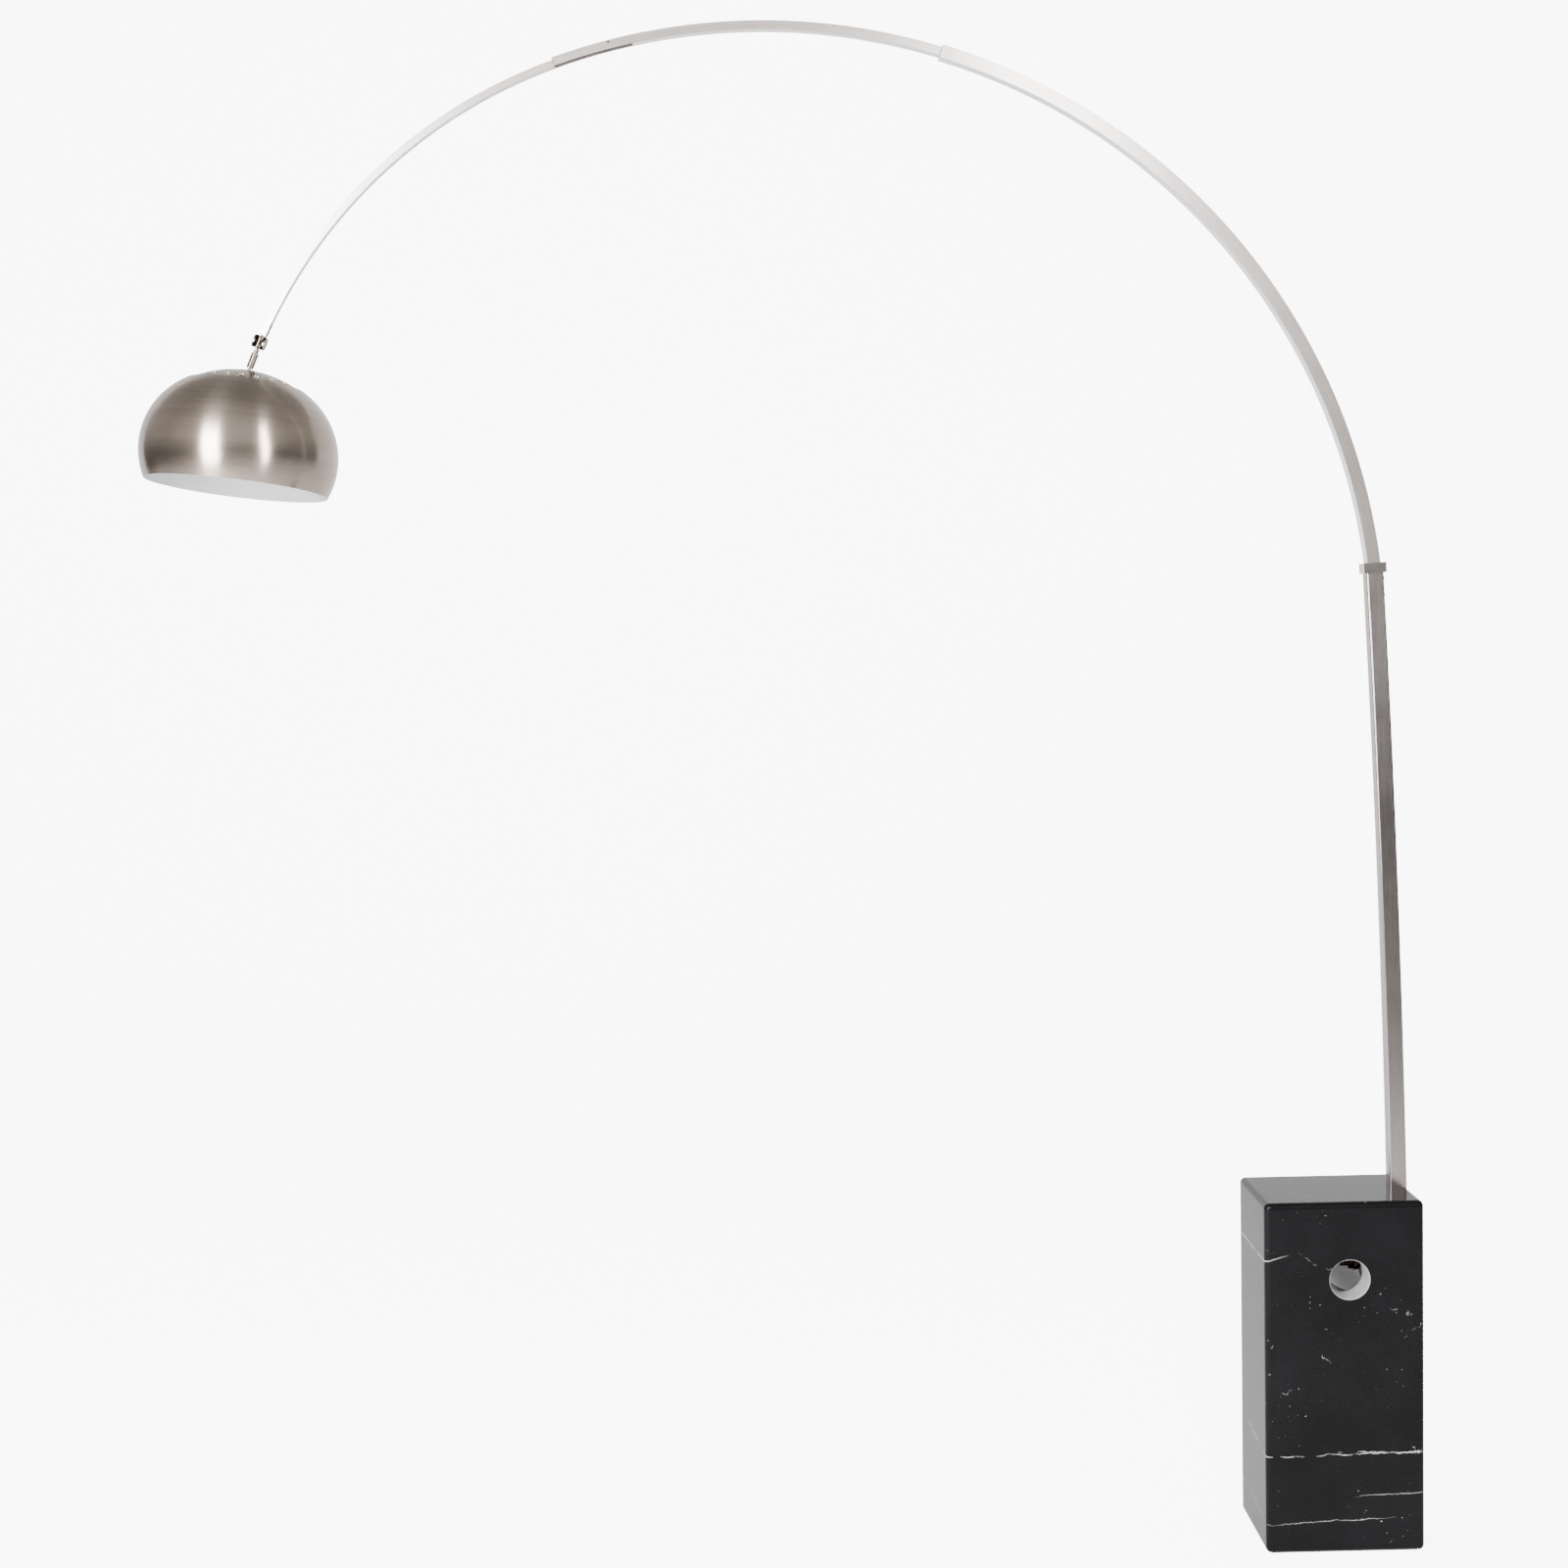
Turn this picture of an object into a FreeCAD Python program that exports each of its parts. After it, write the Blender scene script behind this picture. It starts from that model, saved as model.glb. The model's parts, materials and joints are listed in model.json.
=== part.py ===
"""Arc floor lamp: a marble block, a square column, a three-part telescopic arc and a tilting dome shade.

Millimetres. The origin is the centre of the base's underside, +Z is up, and the arc reaches out along -X
in the plane Y = 0. Every driving size is a cell of the sheet "Sizes"; the features are bound to those cells.
"""
import FreeCAD, Part
import math
import os
import re
from types import SimpleNamespace

import Sketcher
from FreeCAD import Placement, Rotation, Vector

SIZES = {
    # marble base
    "base_width": 245.0,
    "base_depth": 180.0,
    "base_height": 550.0,
    "base_edge_radius": 8.5,
    "carry_hole_bevel": 1.5,
    "felt_thickness": 2.0,
    "felt_inset": 10.0,
    "carry_hole_diameter": 61.0,
    "carry_hole_x": 7.5,
    "carry_hole_drop": 120.0,
    # column
    "column_x": 105.5,
    "column_width": 27.0,
    "column_depth": 24.0,
    "column_wall": 2.0,
    "column_corner": 3.0,
    "column_lean": 1.0,
    "column_bow_radius": 28000.0,
    "column_length": 970.0,
    "socket_depth": 150.0,
    "socket_clearance": 0.4,
    "grommet_height": 42.0,
    "grommet_diameter": 11.0,
    "grommet_lip": 1.5,
    # clamp that draws the column against the marble
    "rod_diameter": 8.0,
    "rod_play": 0.5,
    "rod_overhang": 22.0,
    "nut_across_flats": 15.0,
    "nut_thickness": 8.0,
    "washer_diameter": 22.0,
    "washer_thickness": 2.0,
    "washer_seat_play": 0.5,
    "anchor_length": 60.0,
    "inner_clearance": 0.2,
    # collar and the spigot inside it
    "collar_wall_x": 3.75,
    "collar_wall_y": 2.75,
    "collar_height": 15.5,
    "collar_bore_play": 0.25,
    "collar_lip": 1.5,
    "spigot_length": 50.0,
    "spigot_gap": 1.2,
    "screw_diameter": 5.0,
    "screw_head_diameter": 9.0,
    "screw_head_height": 2.5,
    "screw_length": 6.5,
    "grub_diameter": 4.0,
    # arc: three nested channels, open towards the centre of the arc
    "arc_outer_radius": 958.0,
    "arc_start": 6.7,
    "channel_wall": 2.0,
    "nest_gap_radial": 1.0,
    "nest_gap_side": 0.5,
    "lower_depth": 19.5,
    "lower_width": 24.0,
    "lower_sweep": 65.75,
    "middle_depth": 12.8,
    "middle_sweep": 47.0,
    "tip_depth": 10.8,
    "tip_tail_depth": 8.2,
    "tip_radius": 785.0,
    "tip_sweep": 45.3,
    "overlap_sweep": 10.9,
    "grub_from_mouth": 5.35,
    "grub_gap": 0.3,
    "mouth_chamfer": 1.2,
    "cover_thickness": 1.2,
    "middle_cover_sweep": 39.5,
    "cable_diameter": 3.6,
    "cable_lane": 2.0,
    "cable_lift": 4.0,
    "lower_cable_sweep": 77.0,
    "upper_cable_lead": 27.0,
    # knuckle
    "knuckle_reach": 12.0,
    "head_lean": 23.5,
    "lug_diameter": 20.0,
    "lug_thickness": 5.9,
    "lug_gap": 0.3,
    "lug_rod_diameter": 12.4,
    "lower_web_length": 13.0,
    "disc_thickness": 3.0,
    "disc_gap": 0.15,
    "pivot_diameter": 6.0,
    "running_clearance": 0.05,
    "shank_length": 20.0,
    "shank_play": 0.35,
    "neck_diameter": 7.5,
    "shank_pin_diameter": 3.0,
    "shank_pin_depth": 12.0,
    # stem and ball joint
    "stem_top": 17.5,
    "stem_diameter": 11.0,
    "stem_pin_diameter": 6.0,
    "stem_pin_length": 10.0,
    "swivel_gap": 0.3,
    "swivel_groove_depth": 0.8,
    "swivel_groove_play": 0.2,
    "swivel_screw_diameter": 3.0,
    "ball_from_pivot": 53.0,
    "ball_diameter": 14.0,
    "ball_neck_diameter": 5.5,
    "ball_neck_length": 10.5,
    "ball_depth": 5.5,
    "socket_lip": 3.5,
    "socket_diameter": 19.0,
    "socket_flare": 16.0,
    "socket_split": 1.0,
    "socket_below": 9.0,
    "flange_diameter": 25.0,
    "flange_thickness": 0.9,
    "flange_lift": 0.25,
    "skirt_wall": 2.0,
    "skirt_height": 3.0,
    "cap_nut_thickness": 1.7,
    "cap_bore_play": 0.2,
    "stud_diameter": 10.0,
    "stud_length": 16.0,
    "stud_in_holder": 6.0,
    # shade
    "shade_lean": 6.8,
    "shade_pitch": 3.2,
    "dome_side_radius": 122.0,
    "dome_side_offset": 27.0,
    "dome_top_drop": 36.0,
    "dome_wall": 1.0,
    "dome_rim_drop": 51.0,
    "dome_opening_radius": 88.0,
    "dome_gap": 1.3,
    "cap_wall": 1.0,
    "cap_edge_radius": 103.0,
    "cap_hole_diameter": 14.5,
    "cap_hole_circle": 77.0,
    "cap_hole_count": 22.0,
    # lamp holder and bulb
    "locknut_across_flats": 15.0,
    "locknut_thickness": 3.0,
    "holder_top_diameter": 20.0,
    "holder_diameter": 39.0,
    "holder_taper": 12.0,
    "holder_length": 48.0,
    "holder_wall": 3.0,
    "shell_diameter": 27.6,
    "shell_wall": 0.4,
    "bulb_base_diameter": 26.0,
    "bulb_base_length": 25.0,
    "bulb_glass_diameter": 60.0,
    "bulb_glass_wall": 1.0,
    "bulb_neck_length": 34.0,
    "bulb_length": 104.0,
    "bulb_gap": 0.3,
    "insulator_thickness": 6.0,
    "contact_diameter": 6.0,
    "contact_thickness": 1.5,
}

doc = FreeCAD.newDocument("arc_floor_lamp")


def make_sheet():
    """Write every size into the sheet as text, one row each, with its alias."""
    sheet = doc.addObject("Spreadsheet::Sheet", "Sizes")
    for row, (alias, value) in enumerate(SIZES.items(), start=1):
        sheet.set(f"A{row}", alias)
        sheet.set(f"B{row}", str(value))
        sheet.setAlias(f"B{row}", alias)
    doc.recompute()
    return sheet


sheet = make_sheet()
size = SimpleNamespace(**{alias: float(sheet.get(alias)) for alias in SIZES})
Y_AXIS = Vector(0, 1, 0)
nodes = []


# ---------------------------------------------------------------- helpers
def bound(formula):
    """Turn a formula of size names into an expression that reads the sheet."""
    return re.sub(r"[a-z_]+", lambda word: ("Sizes." if word[0] in SIZES else "") + word[0], formula)


def bind(feature, **formulas):
    for name, formula in formulas.items():
        feature.setExpression(name, bound(formula))
    return feature


def publish(feature, name):
    """Make a feature a sub-part: its Label is the node's name."""
    feature.Label = name
    nodes.append(feature)
    return feature


def leaning(point, degrees):
    """A frame at a point whose Z leans towards +X by the given angle."""
    return Placement(point, Rotation(Y_AXIS, degrees))


def body_at(name, place):
    body = doc.addObject("PartDesign::Body", name)
    body.Placement = place
    return body


def sketch_on(body, name, role="XY_Plane", height=None):
    sketch = body.newObject("Sketcher::SketchObject", name)
    plane = next(item for item in body.Origin.OriginFeatures if item.Role == role)
    sketch.AttachmentSupport = (plane, "")
    sketch.MapMode = "FlatFace"
    if height:
        sketch.setExpression("AttachmentOffset.Base.z", bound(height))
    return sketch


def constrain(sketch, kind, *where, formula=None):
    """Add one constraint; with a formula it becomes a size bound to the sheet."""
    if formula is None:
        return sketch.addConstraint(Sketcher.Constraint(kind, *where))
    value = float(sketch.evalExpression(bound(formula)))
    index = sketch.addConstraint(Sketcher.Constraint(kind, *where, value))
    name = f"size_{index}"
    sketch.renameConstraint(index, name)
    sketch.setExpression(f"Constraints.{name}", bound(formula))
    return index


def polygon(sketch, points):
    """Closed loop of lines through the points, joined at its corners; returns the first line's number."""
    corners = [Vector(x, y, 0) for x, y in points]
    first = sketch.GeometryCount
    count = len(corners)
    for number, corner in enumerate(corners):
        line = Part.LineSegment(corner, corners[(number + 1) % count])
        sketch.addGeometry(line, False)
    for number in range(count):
        constrain(sketch, "Coincident", first + number, 2, first + (number + 1) % count, 1)
    return first


def rectangle(sketch, width, height, centre_x=None):
    """Rectangle of bound width and height, centred on the origin or on a point of the X axis."""
    line = polygon(sketch, [(-5, -5), (5, -5), (5, 5), (-5, 5)])
    for number in (0, 2):
        constrain(sketch, "Horizontal", line + number)
    constrain(sketch, "Vertical", line + 3)
    if centre_x is None:
        constrain(sketch, "Vertical", line + 1)
        constrain(sketch, "Symmetric", line, 1, line + 2, 1, -1, 1)
    else:
        constrain(sketch, "Symmetric", line + 1, 1, line + 1, 2, -1)
        constrain(sketch, "DistanceX", -1, 1, line, 2, formula=f"{centre_x} + ({width}) / 2")
    constrain(sketch, "DistanceX", line, 1, line, 2, formula=width)
    constrain(sketch, "DistanceY", line + 1, 1, line + 1, 2, formula=height)
    return line


def circle(sketch, radius, centre_x=None):
    number = sketch.addGeometry(Part.Circle(Vector(1, 0, 0), Vector(0, 0, 1), 1.0), False)
    constrain(sketch, "Radius", number, formula=radius)
    if centre_x is None:
        constrain(sketch, "Coincident", number, 3, -1, 1)
    else:
        constrain(sketch, "PointOnObject", number, 3, -1)
        constrain(sketch, "DistanceX", -1, 1, number, 3, formula=centre_x)
    return number


def pad(body, sketch, length, reverse=False, both=False):
    feature = body.newObject("PartDesign::Pad", sketch.Name + "_pad")
    feature.Profile = sketch
    feature.Reversed = reverse
    feature.Midplane = both
    return bind(feature, Length=length)


def pocket(body, sketch, length, reverse=False, both=False):
    feature = body.newObject("PartDesign::Pocket", sketch.Name + "_pocket")
    feature.Profile = sketch
    feature.Reversed = reverse
    feature.Midplane = both
    return bind(feature, Length=length)


def revolve(body, sketch, sweep=None, reverse=True):
    """Turn a profile about its own vertical axis, a full turn unless a sweep is given."""
    feature = body.newObject("PartDesign::Revolution", sketch.Name + "_turn")
    feature.Profile = sketch
    feature.ReferenceAxis = (sketch, ["V_Axis"])
    feature.Reversed = reverse
    feature.Angle = 360.0
    return bind(feature, Angle=sweep) if sweep else feature


def box(name, place, length, width, height, centred="xy"):
    """Part box of bound sizes, centred on the axes named, in the given frame."""
    feature = bind(doc.addObject("Part::Box", name), Length=length, Width=width, Height=height)
    doc.recompute()
    shift = Vector(*(-side / 2 if axis in centred else 0 for axis, side in
                     zip("xyz", (feature.Length.Value, feature.Width.Value, feature.Height.Value))))
    feature.Placement = place.multiply(Placement(shift, Rotation()))
    return feature


def cylinder(name, place, radius, height):
    feature = bind(doc.addObject("Part::Cylinder", name), Radius=radius, Height=height)
    feature.Placement = place
    return feature


def cone(name, place, radius_low, radius_high, height):
    feature = bind(doc.addObject("Part::Cone", name), Radius1=radius_low, Radius2=radius_high, Height=height)
    feature.Placement = place
    return feature


def sphere(name, place, radius):
    feature = bind(doc.addObject("Part::Sphere", name), Radius=radius)
    feature.Placement = place
    return feature


def hexagon(name, place, across_flats, height):
    feature = doc.addObject("Part::Prism", name)
    feature.Polygon = 6
    bind(feature, Circumradius=f"({across_flats}) / {math.sqrt(3):.6f}", Height=height)
    feature.Placement = place
    return feature


def fuse(name, *shapes):
    feature = doc.addObject("Part::MultiFuse", name)
    feature.Shapes = list(shapes)
    return feature


def cut(name, base, *tools):
    feature = doc.addObject("Part::Cut", name)
    feature.Base = base
    feature.Tool = tools[0] if len(tools) == 1 else fuse(name + "_tools", *tools)
    return feature


def common(name, first, second):
    feature = doc.addObject("Part::MultiCommon", name)
    feature.Shapes = [first, second]
    return feature


def group(name, *pieces):
    """Several separate solids that share one node."""
    feature = doc.addObject("Part::Compound", name)
    feature.Links = list(pieces)
    return publish(feature, name)


def offset(place, x=0.0, y=0.0, z=0.0, turn=None):
    """A frame moved along its own axes, then turned in place."""
    return place.multiply(Placement(Vector(x, y, z), turn or Rotation()))


ALONG_X = Rotation(Y_AXIS, 90)
ALONG_MINUS_X = Rotation(Y_AXIS, -90)
ALONG_Y = Rotation(Vector(1, 0, 0), -90)
DOWNWARD = Rotation(Vector(1, 0, 0), 180)

# ---------------------------------------------------------------- places worked out from the sizes
HOLE_HEIGHT = size.base_height - size.carry_hole_drop
FOOT = leaning(Vector(size.column_x, 0, size.base_height), -size.column_lean)
BOW_CENTRE = offset(FOOT, x=-size.column_bow_radius)
BOW_SWEEP = math.degrees(size.column_length / size.column_bow_radius)
COLUMN_TOP = offset(BOW_CENTRE, turn=Rotation(Y_AXIS, -BOW_SWEEP))
COLUMN_TOP = offset(COLUMN_TOP, x=size.column_bow_radius)

LOWER_MID_RADIUS = size.arc_outer_radius - size.lower_depth / 2
MIDDLE_OUTER_RADIUS = size.arc_outer_radius - size.channel_wall - size.nest_gap_radial
TIP_OUTER_RADIUS = MIDDLE_OUTER_RADIUS - size.channel_wall - size.nest_gap_radial
TIP_MID_RADIUS = TIP_OUTER_RADIUS - size.tip_depth / 2
ARC_CENTRE = offset(leaning(COLUMN_TOP.Base, -size.arc_start), x=-LOWER_MID_RADIUS).Base

LOWER_END = size.arc_start + size.lower_sweep
MIDDLE_START = LOWER_END - size.overlap_sweep
MIDDLE_END = MIDDLE_START + size.middle_sweep
TIP_START = MIDDLE_END - size.overlap_sweep
TIP_END = MIDDLE_END + size.tip_sweep


def on_arc(angle, radius=0.0, centre=ARC_CENTRE):
    """Frame on the arc: X points outwards, Z runs along the arc towards the shade."""
    return offset(leaning(centre, -angle), x=radius)


TIP_CENTRE = on_arc(MIDDLE_END, TIP_MID_RADIUS - size.tip_radius).Base
TIP_FACE = on_arc(TIP_END, size.tip_radius, TIP_CENTRE)
PIVOT_POINT = offset(TIP_FACE, z=size.knuckle_reach).Base
PIVOT = leaning(PIVOT_POINT, size.head_lean)
BALL_POINT = offset(PIVOT, z=-size.ball_from_pivot).Base
STEM = leaning(BALL_POINT, size.head_lean)

CABLE_RADIUS = TIP_OUTER_RADIUS - size.channel_wall - size.cable_lift
CABLE_SHIFT = LOWER_MID_RADIUS - CABLE_RADIUS

CAP_OUTER_RADIUS = (math.hypot(size.dome_side_offset, size.dome_top_drop) + size.dome_side_radius
                    - size.dome_wall - size.dome_gap)
BALL_HEIGHT = CAP_OUTER_RADIUS - size.dome_top_drop - size.ball_depth
SHADE_TURN = Rotation(Vector(1, 0, 0), -size.shade_pitch).multiply(Rotation(Y_AXIS, size.shade_lean))
SOCKET = Placement(BALL_POINT, SHADE_TURN)
SHADE = offset(SOCKET, z=-BALL_HEIGHT)


# ---------------------------------------------------------------- base, column and clamp
def marble_base():
    """Block with rounded edges, a carrying hole, the column's socket and the clamp rod's bore."""
    body = body_at("marble_block", Placement())
    outline = sketch_on(body, "block_outline", height="felt_thickness")
    rectangle(outline, "base_width", "base_depth")
    block = pad(body, outline, "base_height - felt_thickness")
    doc.recompute()
    rounded = body.newObject("PartDesign::Fillet", "rounded_edges")
    rounded.Base = (block, [f"Edge{number}" for number in range(1, len(block.Shape.Edges) + 1)])
    bind(rounded, Radius="base_edge_radius")

    middle_of_hole = Vector(size.carry_hole_x, -size.base_depth, HOLE_HEIGHT)
    hole = cylinder("carrying_hole", Placement(middle_of_hole, ALONG_Y),
                    "carry_hole_diameter / 2", "base_depth * 2")
    rim_depth = "carry_hole_diameter / 2 + carry_hole_bevel"
    front = Placement(Vector(size.carry_hole_x, -size.base_depth / 2, HOLE_HEIGHT), ALONG_Y)
    back = Placement(Vector(size.carry_hole_x, size.base_depth / 2, HOLE_HEIGHT),
                     ALONG_Y.multiply(DOWNWARD))
    bevels = [cone(name, place, rim_depth, "carry_hole_diameter / 2", "carry_hole_bevel")
              for name, place in (("front_bevel", front), ("back_bevel", back))]
    socket = box("column_socket", offset(FOOT, z=-size.socket_depth), "column_width + 2 * socket_clearance",
                 "column_depth + 2 * socket_clearance", "socket_depth * 2")
    start = Vector(size.carry_hole_x, 0, HOLE_HEIGHT)
    rod_bore = cylinder("rod_bore", Placement(start, ALONG_X), "rod_diameter / 2 + rod_play",
                        "column_x - carry_hole_x")
    seat = cylinder("washer_seat", Placement(start, ALONG_X), "washer_diameter / 2 + washer_seat_play",
                    "carry_hole_diameter / 2")
    return publish(cut("marble", body, hole, *bevels, socket, rod_bore, seat), "marble_base")


def base_felt():
    body = body_at("felt_sheet", Placement())
    outline = sketch_on(body, "felt_outline")
    rectangle(outline, "base_width - 2 * felt_inset", "base_depth - 2 * felt_inset")
    pad(body, outline, "felt_thickness")
    return publish(body, "base_felt")


def column_tube():
    """Rectangular tube: a straight foot in the socket, then one long shallow bow up to the collar."""
    body = body_at("column_body", BOW_CENTRE)
    outline = sketch_on(body, "column_outline")
    rectangle(outline, "column_width", "column_depth", "column_bow_radius")
    foot = pad(body, outline, "socket_depth - felt_thickness", reverse=True)
    turn = revolve(body, outline)
    turn.setExpression("Angle", bound("column_length / column_bow_radius") + " * 180 / pi")
    doc.recompute()
    long_edges = [f"Edge{number}" for number, edge in enumerate(turn.Shape.Edges, start=1)
                  if edge.Length > size.socket_depth / 2]
    rounded = body.newObject("PartDesign::Fillet", "column_corners")
    rounded.Base = (turn, long_edges)
    bind(rounded, Radius="column_corner")

    hollow = body_at("column_hollow", BOW_CENTRE)
    inside = sketch_on(hollow, "column_inside")
    rectangle(inside, "column_width - 2 * column_wall", "column_depth - 2 * column_wall", "column_bow_radius")
    pad(hollow, inside, "socket_depth", reverse=True)
    inner_turn = revolve(hollow, inside)
    inner_turn.setExpression("Angle", bound("column_length / column_bow_radius") + " * 180 / pi + 0.01")

    rod_place = Placement(Vector(size.carry_hole_x, 0, HOLE_HEIGHT), ALONG_X)
    rod_hole = cylinder("column_rod_hole", rod_place, "rod_diameter / 2 + rod_play",
                        "column_x - carry_hole_x")
    grommet_hole = cylinder("column_grommet_hole", offset(FOOT, z=size.grommet_height, turn=ALONG_Y),
                            "grommet_diameter / 2 - grommet_lip", "column_depth")
    screw_holes = [cylinder(f"column_screw_hole_{number}", place, "screw_diameter / 2", "column_width / 2")
                   for number, place in enumerate(column_screw_places())]
    return publish(cut("column", body, hollow, rod_hole, grommet_hole, *screw_holes), "column_tube")


def column_screw_places():
    """Frames on the column's outer face where its two spigot screws go in."""
    return [offset(COLUMN_TOP, x=size.column_width / 2, z=-size.collar_height / 2 - drop, turn=ALONG_MINUS_X)
            for drop in (size.screw_head_diameter, size.spigot_length / 2 + size.screw_head_diameter)]


def arc_screw_places():
    """Frames on the lower section's outer face where its two spigot screws go in."""
    reach = size.spigot_length / size.arc_outer_radius
    return [on_arc(size.arc_start + math.degrees(reach * share), size.arc_outer_radius).multiply(
        Placement(Vector(), ALONG_MINUS_X)) for share in (0.45, 0.85)]


def column_anchor():
    """Steel block in the column's foot, tapped for the clamp rod."""
    level = HOLE_HEIGHT - size.base_height
    place = offset(FOOT, z=level - size.anchor_length / 2)
    block = box("anchor_block", place, "column_width - 2 * column_wall - 2 * inner_clearance",
                "column_depth - 2 * column_wall - 2 * inner_clearance", "anchor_length")
    rod_place = Placement(Vector(size.carry_hole_x, 0, HOLE_HEIGHT), ALONG_X)
    tapped = cylinder("anchor_thread", rod_place, "rod_diameter / 2", "column_x * 2")
    return publish(cut("anchor", block, tapped), "column_anchor")


def clamp():
    """Threaded rod from the column's foot into the carrying hole, with its washer and nut."""
    wall_x = size.carry_hole_x + size.carry_hole_diameter / 2
    seat = Placement(Vector(wall_x, 0, HOLE_HEIGHT), ALONG_MINUS_X)
    washer = cylinder("washer_disc", seat, "washer_diameter / 2", "washer_thickness")
    washer_bore = cylinder("washer_bore", offset(seat, z=-1), "rod_diameter / 2 + rod_play",
                           "washer_thickness + 2")
    publish(cut("washer", washer, washer_bore), "clamp_washer")
    nut_seat = offset(seat, z=size.washer_thickness)
    nut = hexagon("nut_blank", nut_seat, "nut_across_flats", "nut_thickness")
    nut_bore = cylinder("nut_bore", offset(nut_seat, z=-1), "rod_diameter / 2", "nut_thickness + 2")
    publish(cut("nut", nut, nut_bore), "clamp_nut")
    rod_end = offset(seat, z=size.washer_thickness + size.rod_overhang)
    rod = cylinder("rod", offset(rod_end, turn=DOWNWARD), "rod_diameter / 2",
                   "column_x + column_width / 2 - column_wall - carry_hole_x - carry_hole_diameter / 2"
                   " + washer_thickness + rod_overhang - 4")
    publish(rod, "clamp_rod")


def cable_grommet():
    """Rubber bush in the column's rear wall, where the supply cable comes in."""
    wall = offset(FOOT, y=size.column_depth / 2, z=size.grommet_height, turn=ALONG_Y)
    lip = cylinder("grommet_face", wall, "grommet_diameter / 2", "grommet_lip")
    sleeve = cylinder("grommet_sleeve", offset(wall, z=-size.column_wall),
                      "grommet_diameter / 2 - grommet_lip", "column_wall + grommet_lip")
    bore = cylinder("grommet_bore", offset(wall, z=-size.column_wall - 1),
                    "cable_diameter / 2 + grommet_lip / 2", "column_wall + 2 * grommet_lip + 2")
    return publish(cut("grommet", fuse("grommet_blank", lip, sleeve), bore), "cable_grommet")


# ---------------------------------------------------------------- collar and spigot
def column_collar():
    """Square sleeve over the joint between column and arc, held by a grub screw at its back."""
    place = offset(COLUMN_TOP, z=-size.collar_height / 2)
    sleeve = box("collar_blank", place, "column_width + 2 * collar_wall_x",
                 "column_depth + 2 * collar_wall_y", "collar_height")
    lower = box("collar_column_bore", offset(COLUMN_TOP, z=-size.collar_height),
                "column_width + 2 * collar_bore_play", "column_depth + 2 * collar_bore_play",
                "collar_height * 3 / 2 - collar_lip")
    upper = box("collar_arc_bore", on_arc(size.arc_start, LOWER_MID_RADIUS),
                "lower_depth + 6 * collar_bore_play", "lower_width + 2 * collar_bore_play", "collar_height")
    return publish(cut("collar", sleeve, lower, upper, grub_cylinder("collar_grub_hole")), "column_collar")


def grub_cylinder(name):
    """Grub screw through the collar's back wall, ending on the column."""
    wall = offset(COLUMN_TOP, y=size.column_depth / 2, z=-size.collar_height / 4, turn=ALONG_Y)
    return cylinder(name, wall, "grub_diameter / 2", "collar_wall_y")


def collar_screw():
    return publish(grub_cylinder("collar_grub"), "collar_screw")


def arc_spigot():
    """Solid steel spigot: the lower half fills the column's end, the upper half the arc's channel."""
    lower = box("spigot_lower", offset(COLUMN_TOP, z=-size.spigot_length),
                "column_width - 2 * column_wall - 2 * inner_clearance",
                "column_depth - 2 * column_wall - 2 * inner_clearance", "spigot_length + spigot_gap")
    half_angle = math.degrees(size.spigot_length / 2 / LOWER_MID_RADIUS)
    half_way = on_arc(size.arc_start + half_angle, LOWER_MID_RADIUS)
    shift = (size.cover_thickness - size.channel_wall - size.inner_clearance) / 2
    upper = box("spigot_upper", offset(half_way, x=shift, z=-size.spigot_length / 2),
                "lower_depth - channel_wall - cover_thickness - 5 * inner_clearance",
                "lower_width - 2 * channel_wall - 2 * inner_clearance", "spigot_length")
    bore_radius = "cable_diameter / 2 + cable_lane + 3 * inner_clearance"
    low_bore = cylinder("spigot_low_bore", offset(COLUMN_TOP, x=-CABLE_SHIFT, z=-2 * size.spigot_length),
                        bore_radius, "spigot_length * 2 + spigot_gap")
    high_bore = cylinder("spigot_high_bore", offset(half_way, x=-CABLE_SHIFT, z=-size.spigot_length / 2),
                         bore_radius, "spigot_length * 2")
    threads = [cylinder(f"spigot_thread_{number}", place, "screw_diameter / 2", "screw_length")
               for number, place in enumerate(column_screw_places() + arc_screw_places())]
    blank = fuse("spigot_blank", lower, upper)
    return publish(cut("spigot", blank, low_bore, high_bore, *threads), "arc_spigot")


def spigot_screws():
    """Four button-head screws that hold column and arc on the spigot."""
    screws = []
    for number, place in enumerate(column_screw_places() + arc_screw_places()):
        thread = cylinder(f"screw_thread_{number}", place, "screw_diameter / 2", "screw_length")
        head = cone(f"screw_head_{number}", offset(place, turn=DOWNWARD), "screw_head_diameter / 2",
                    "screw_head_diameter / 2 - screw_head_height / 2", "screw_head_height")
        key = hexagon(f"screw_key_{number}", offset(place, z=-size.screw_head_height),
                      "screw_diameter * 0.6", "screw_head_height")
        screws.append(cut(f"screw_{number}", fuse(f"screw_blank_{number}", thread, head), key))
    return group("spigot_screws", *screws)


# ---------------------------------------------------------------- telescopic arc
def mouth_edges(shape, sweep):
    """Names of a channel's outer edges at its far end."""
    half_width = shape.BoundBox.YMax
    outer_radius = max(math.hypot(point.X, point.Z) for point in shape.Vertexes)
    names = []
    for number, edge in enumerate(shape.Edges, start=1):
        ends = [point.Point for point in edge.Vertexes]
        at_mouth = all(abs(math.degrees(abs(math.atan2(end.z, end.x))) - sweep) < 0.001 for end in ends)
        on_side = all(abs(abs(end.y) - half_width) < 0.001 for end in ends) and ends[0].y * ends[-1].y > 0
        on_web = all(abs(math.hypot(end.x, end.z) - outer_radius) < 0.001 for end in ends)
        if at_mouth and (on_side or on_web):
            names.append(f"Edge{number}")
    return names


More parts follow.
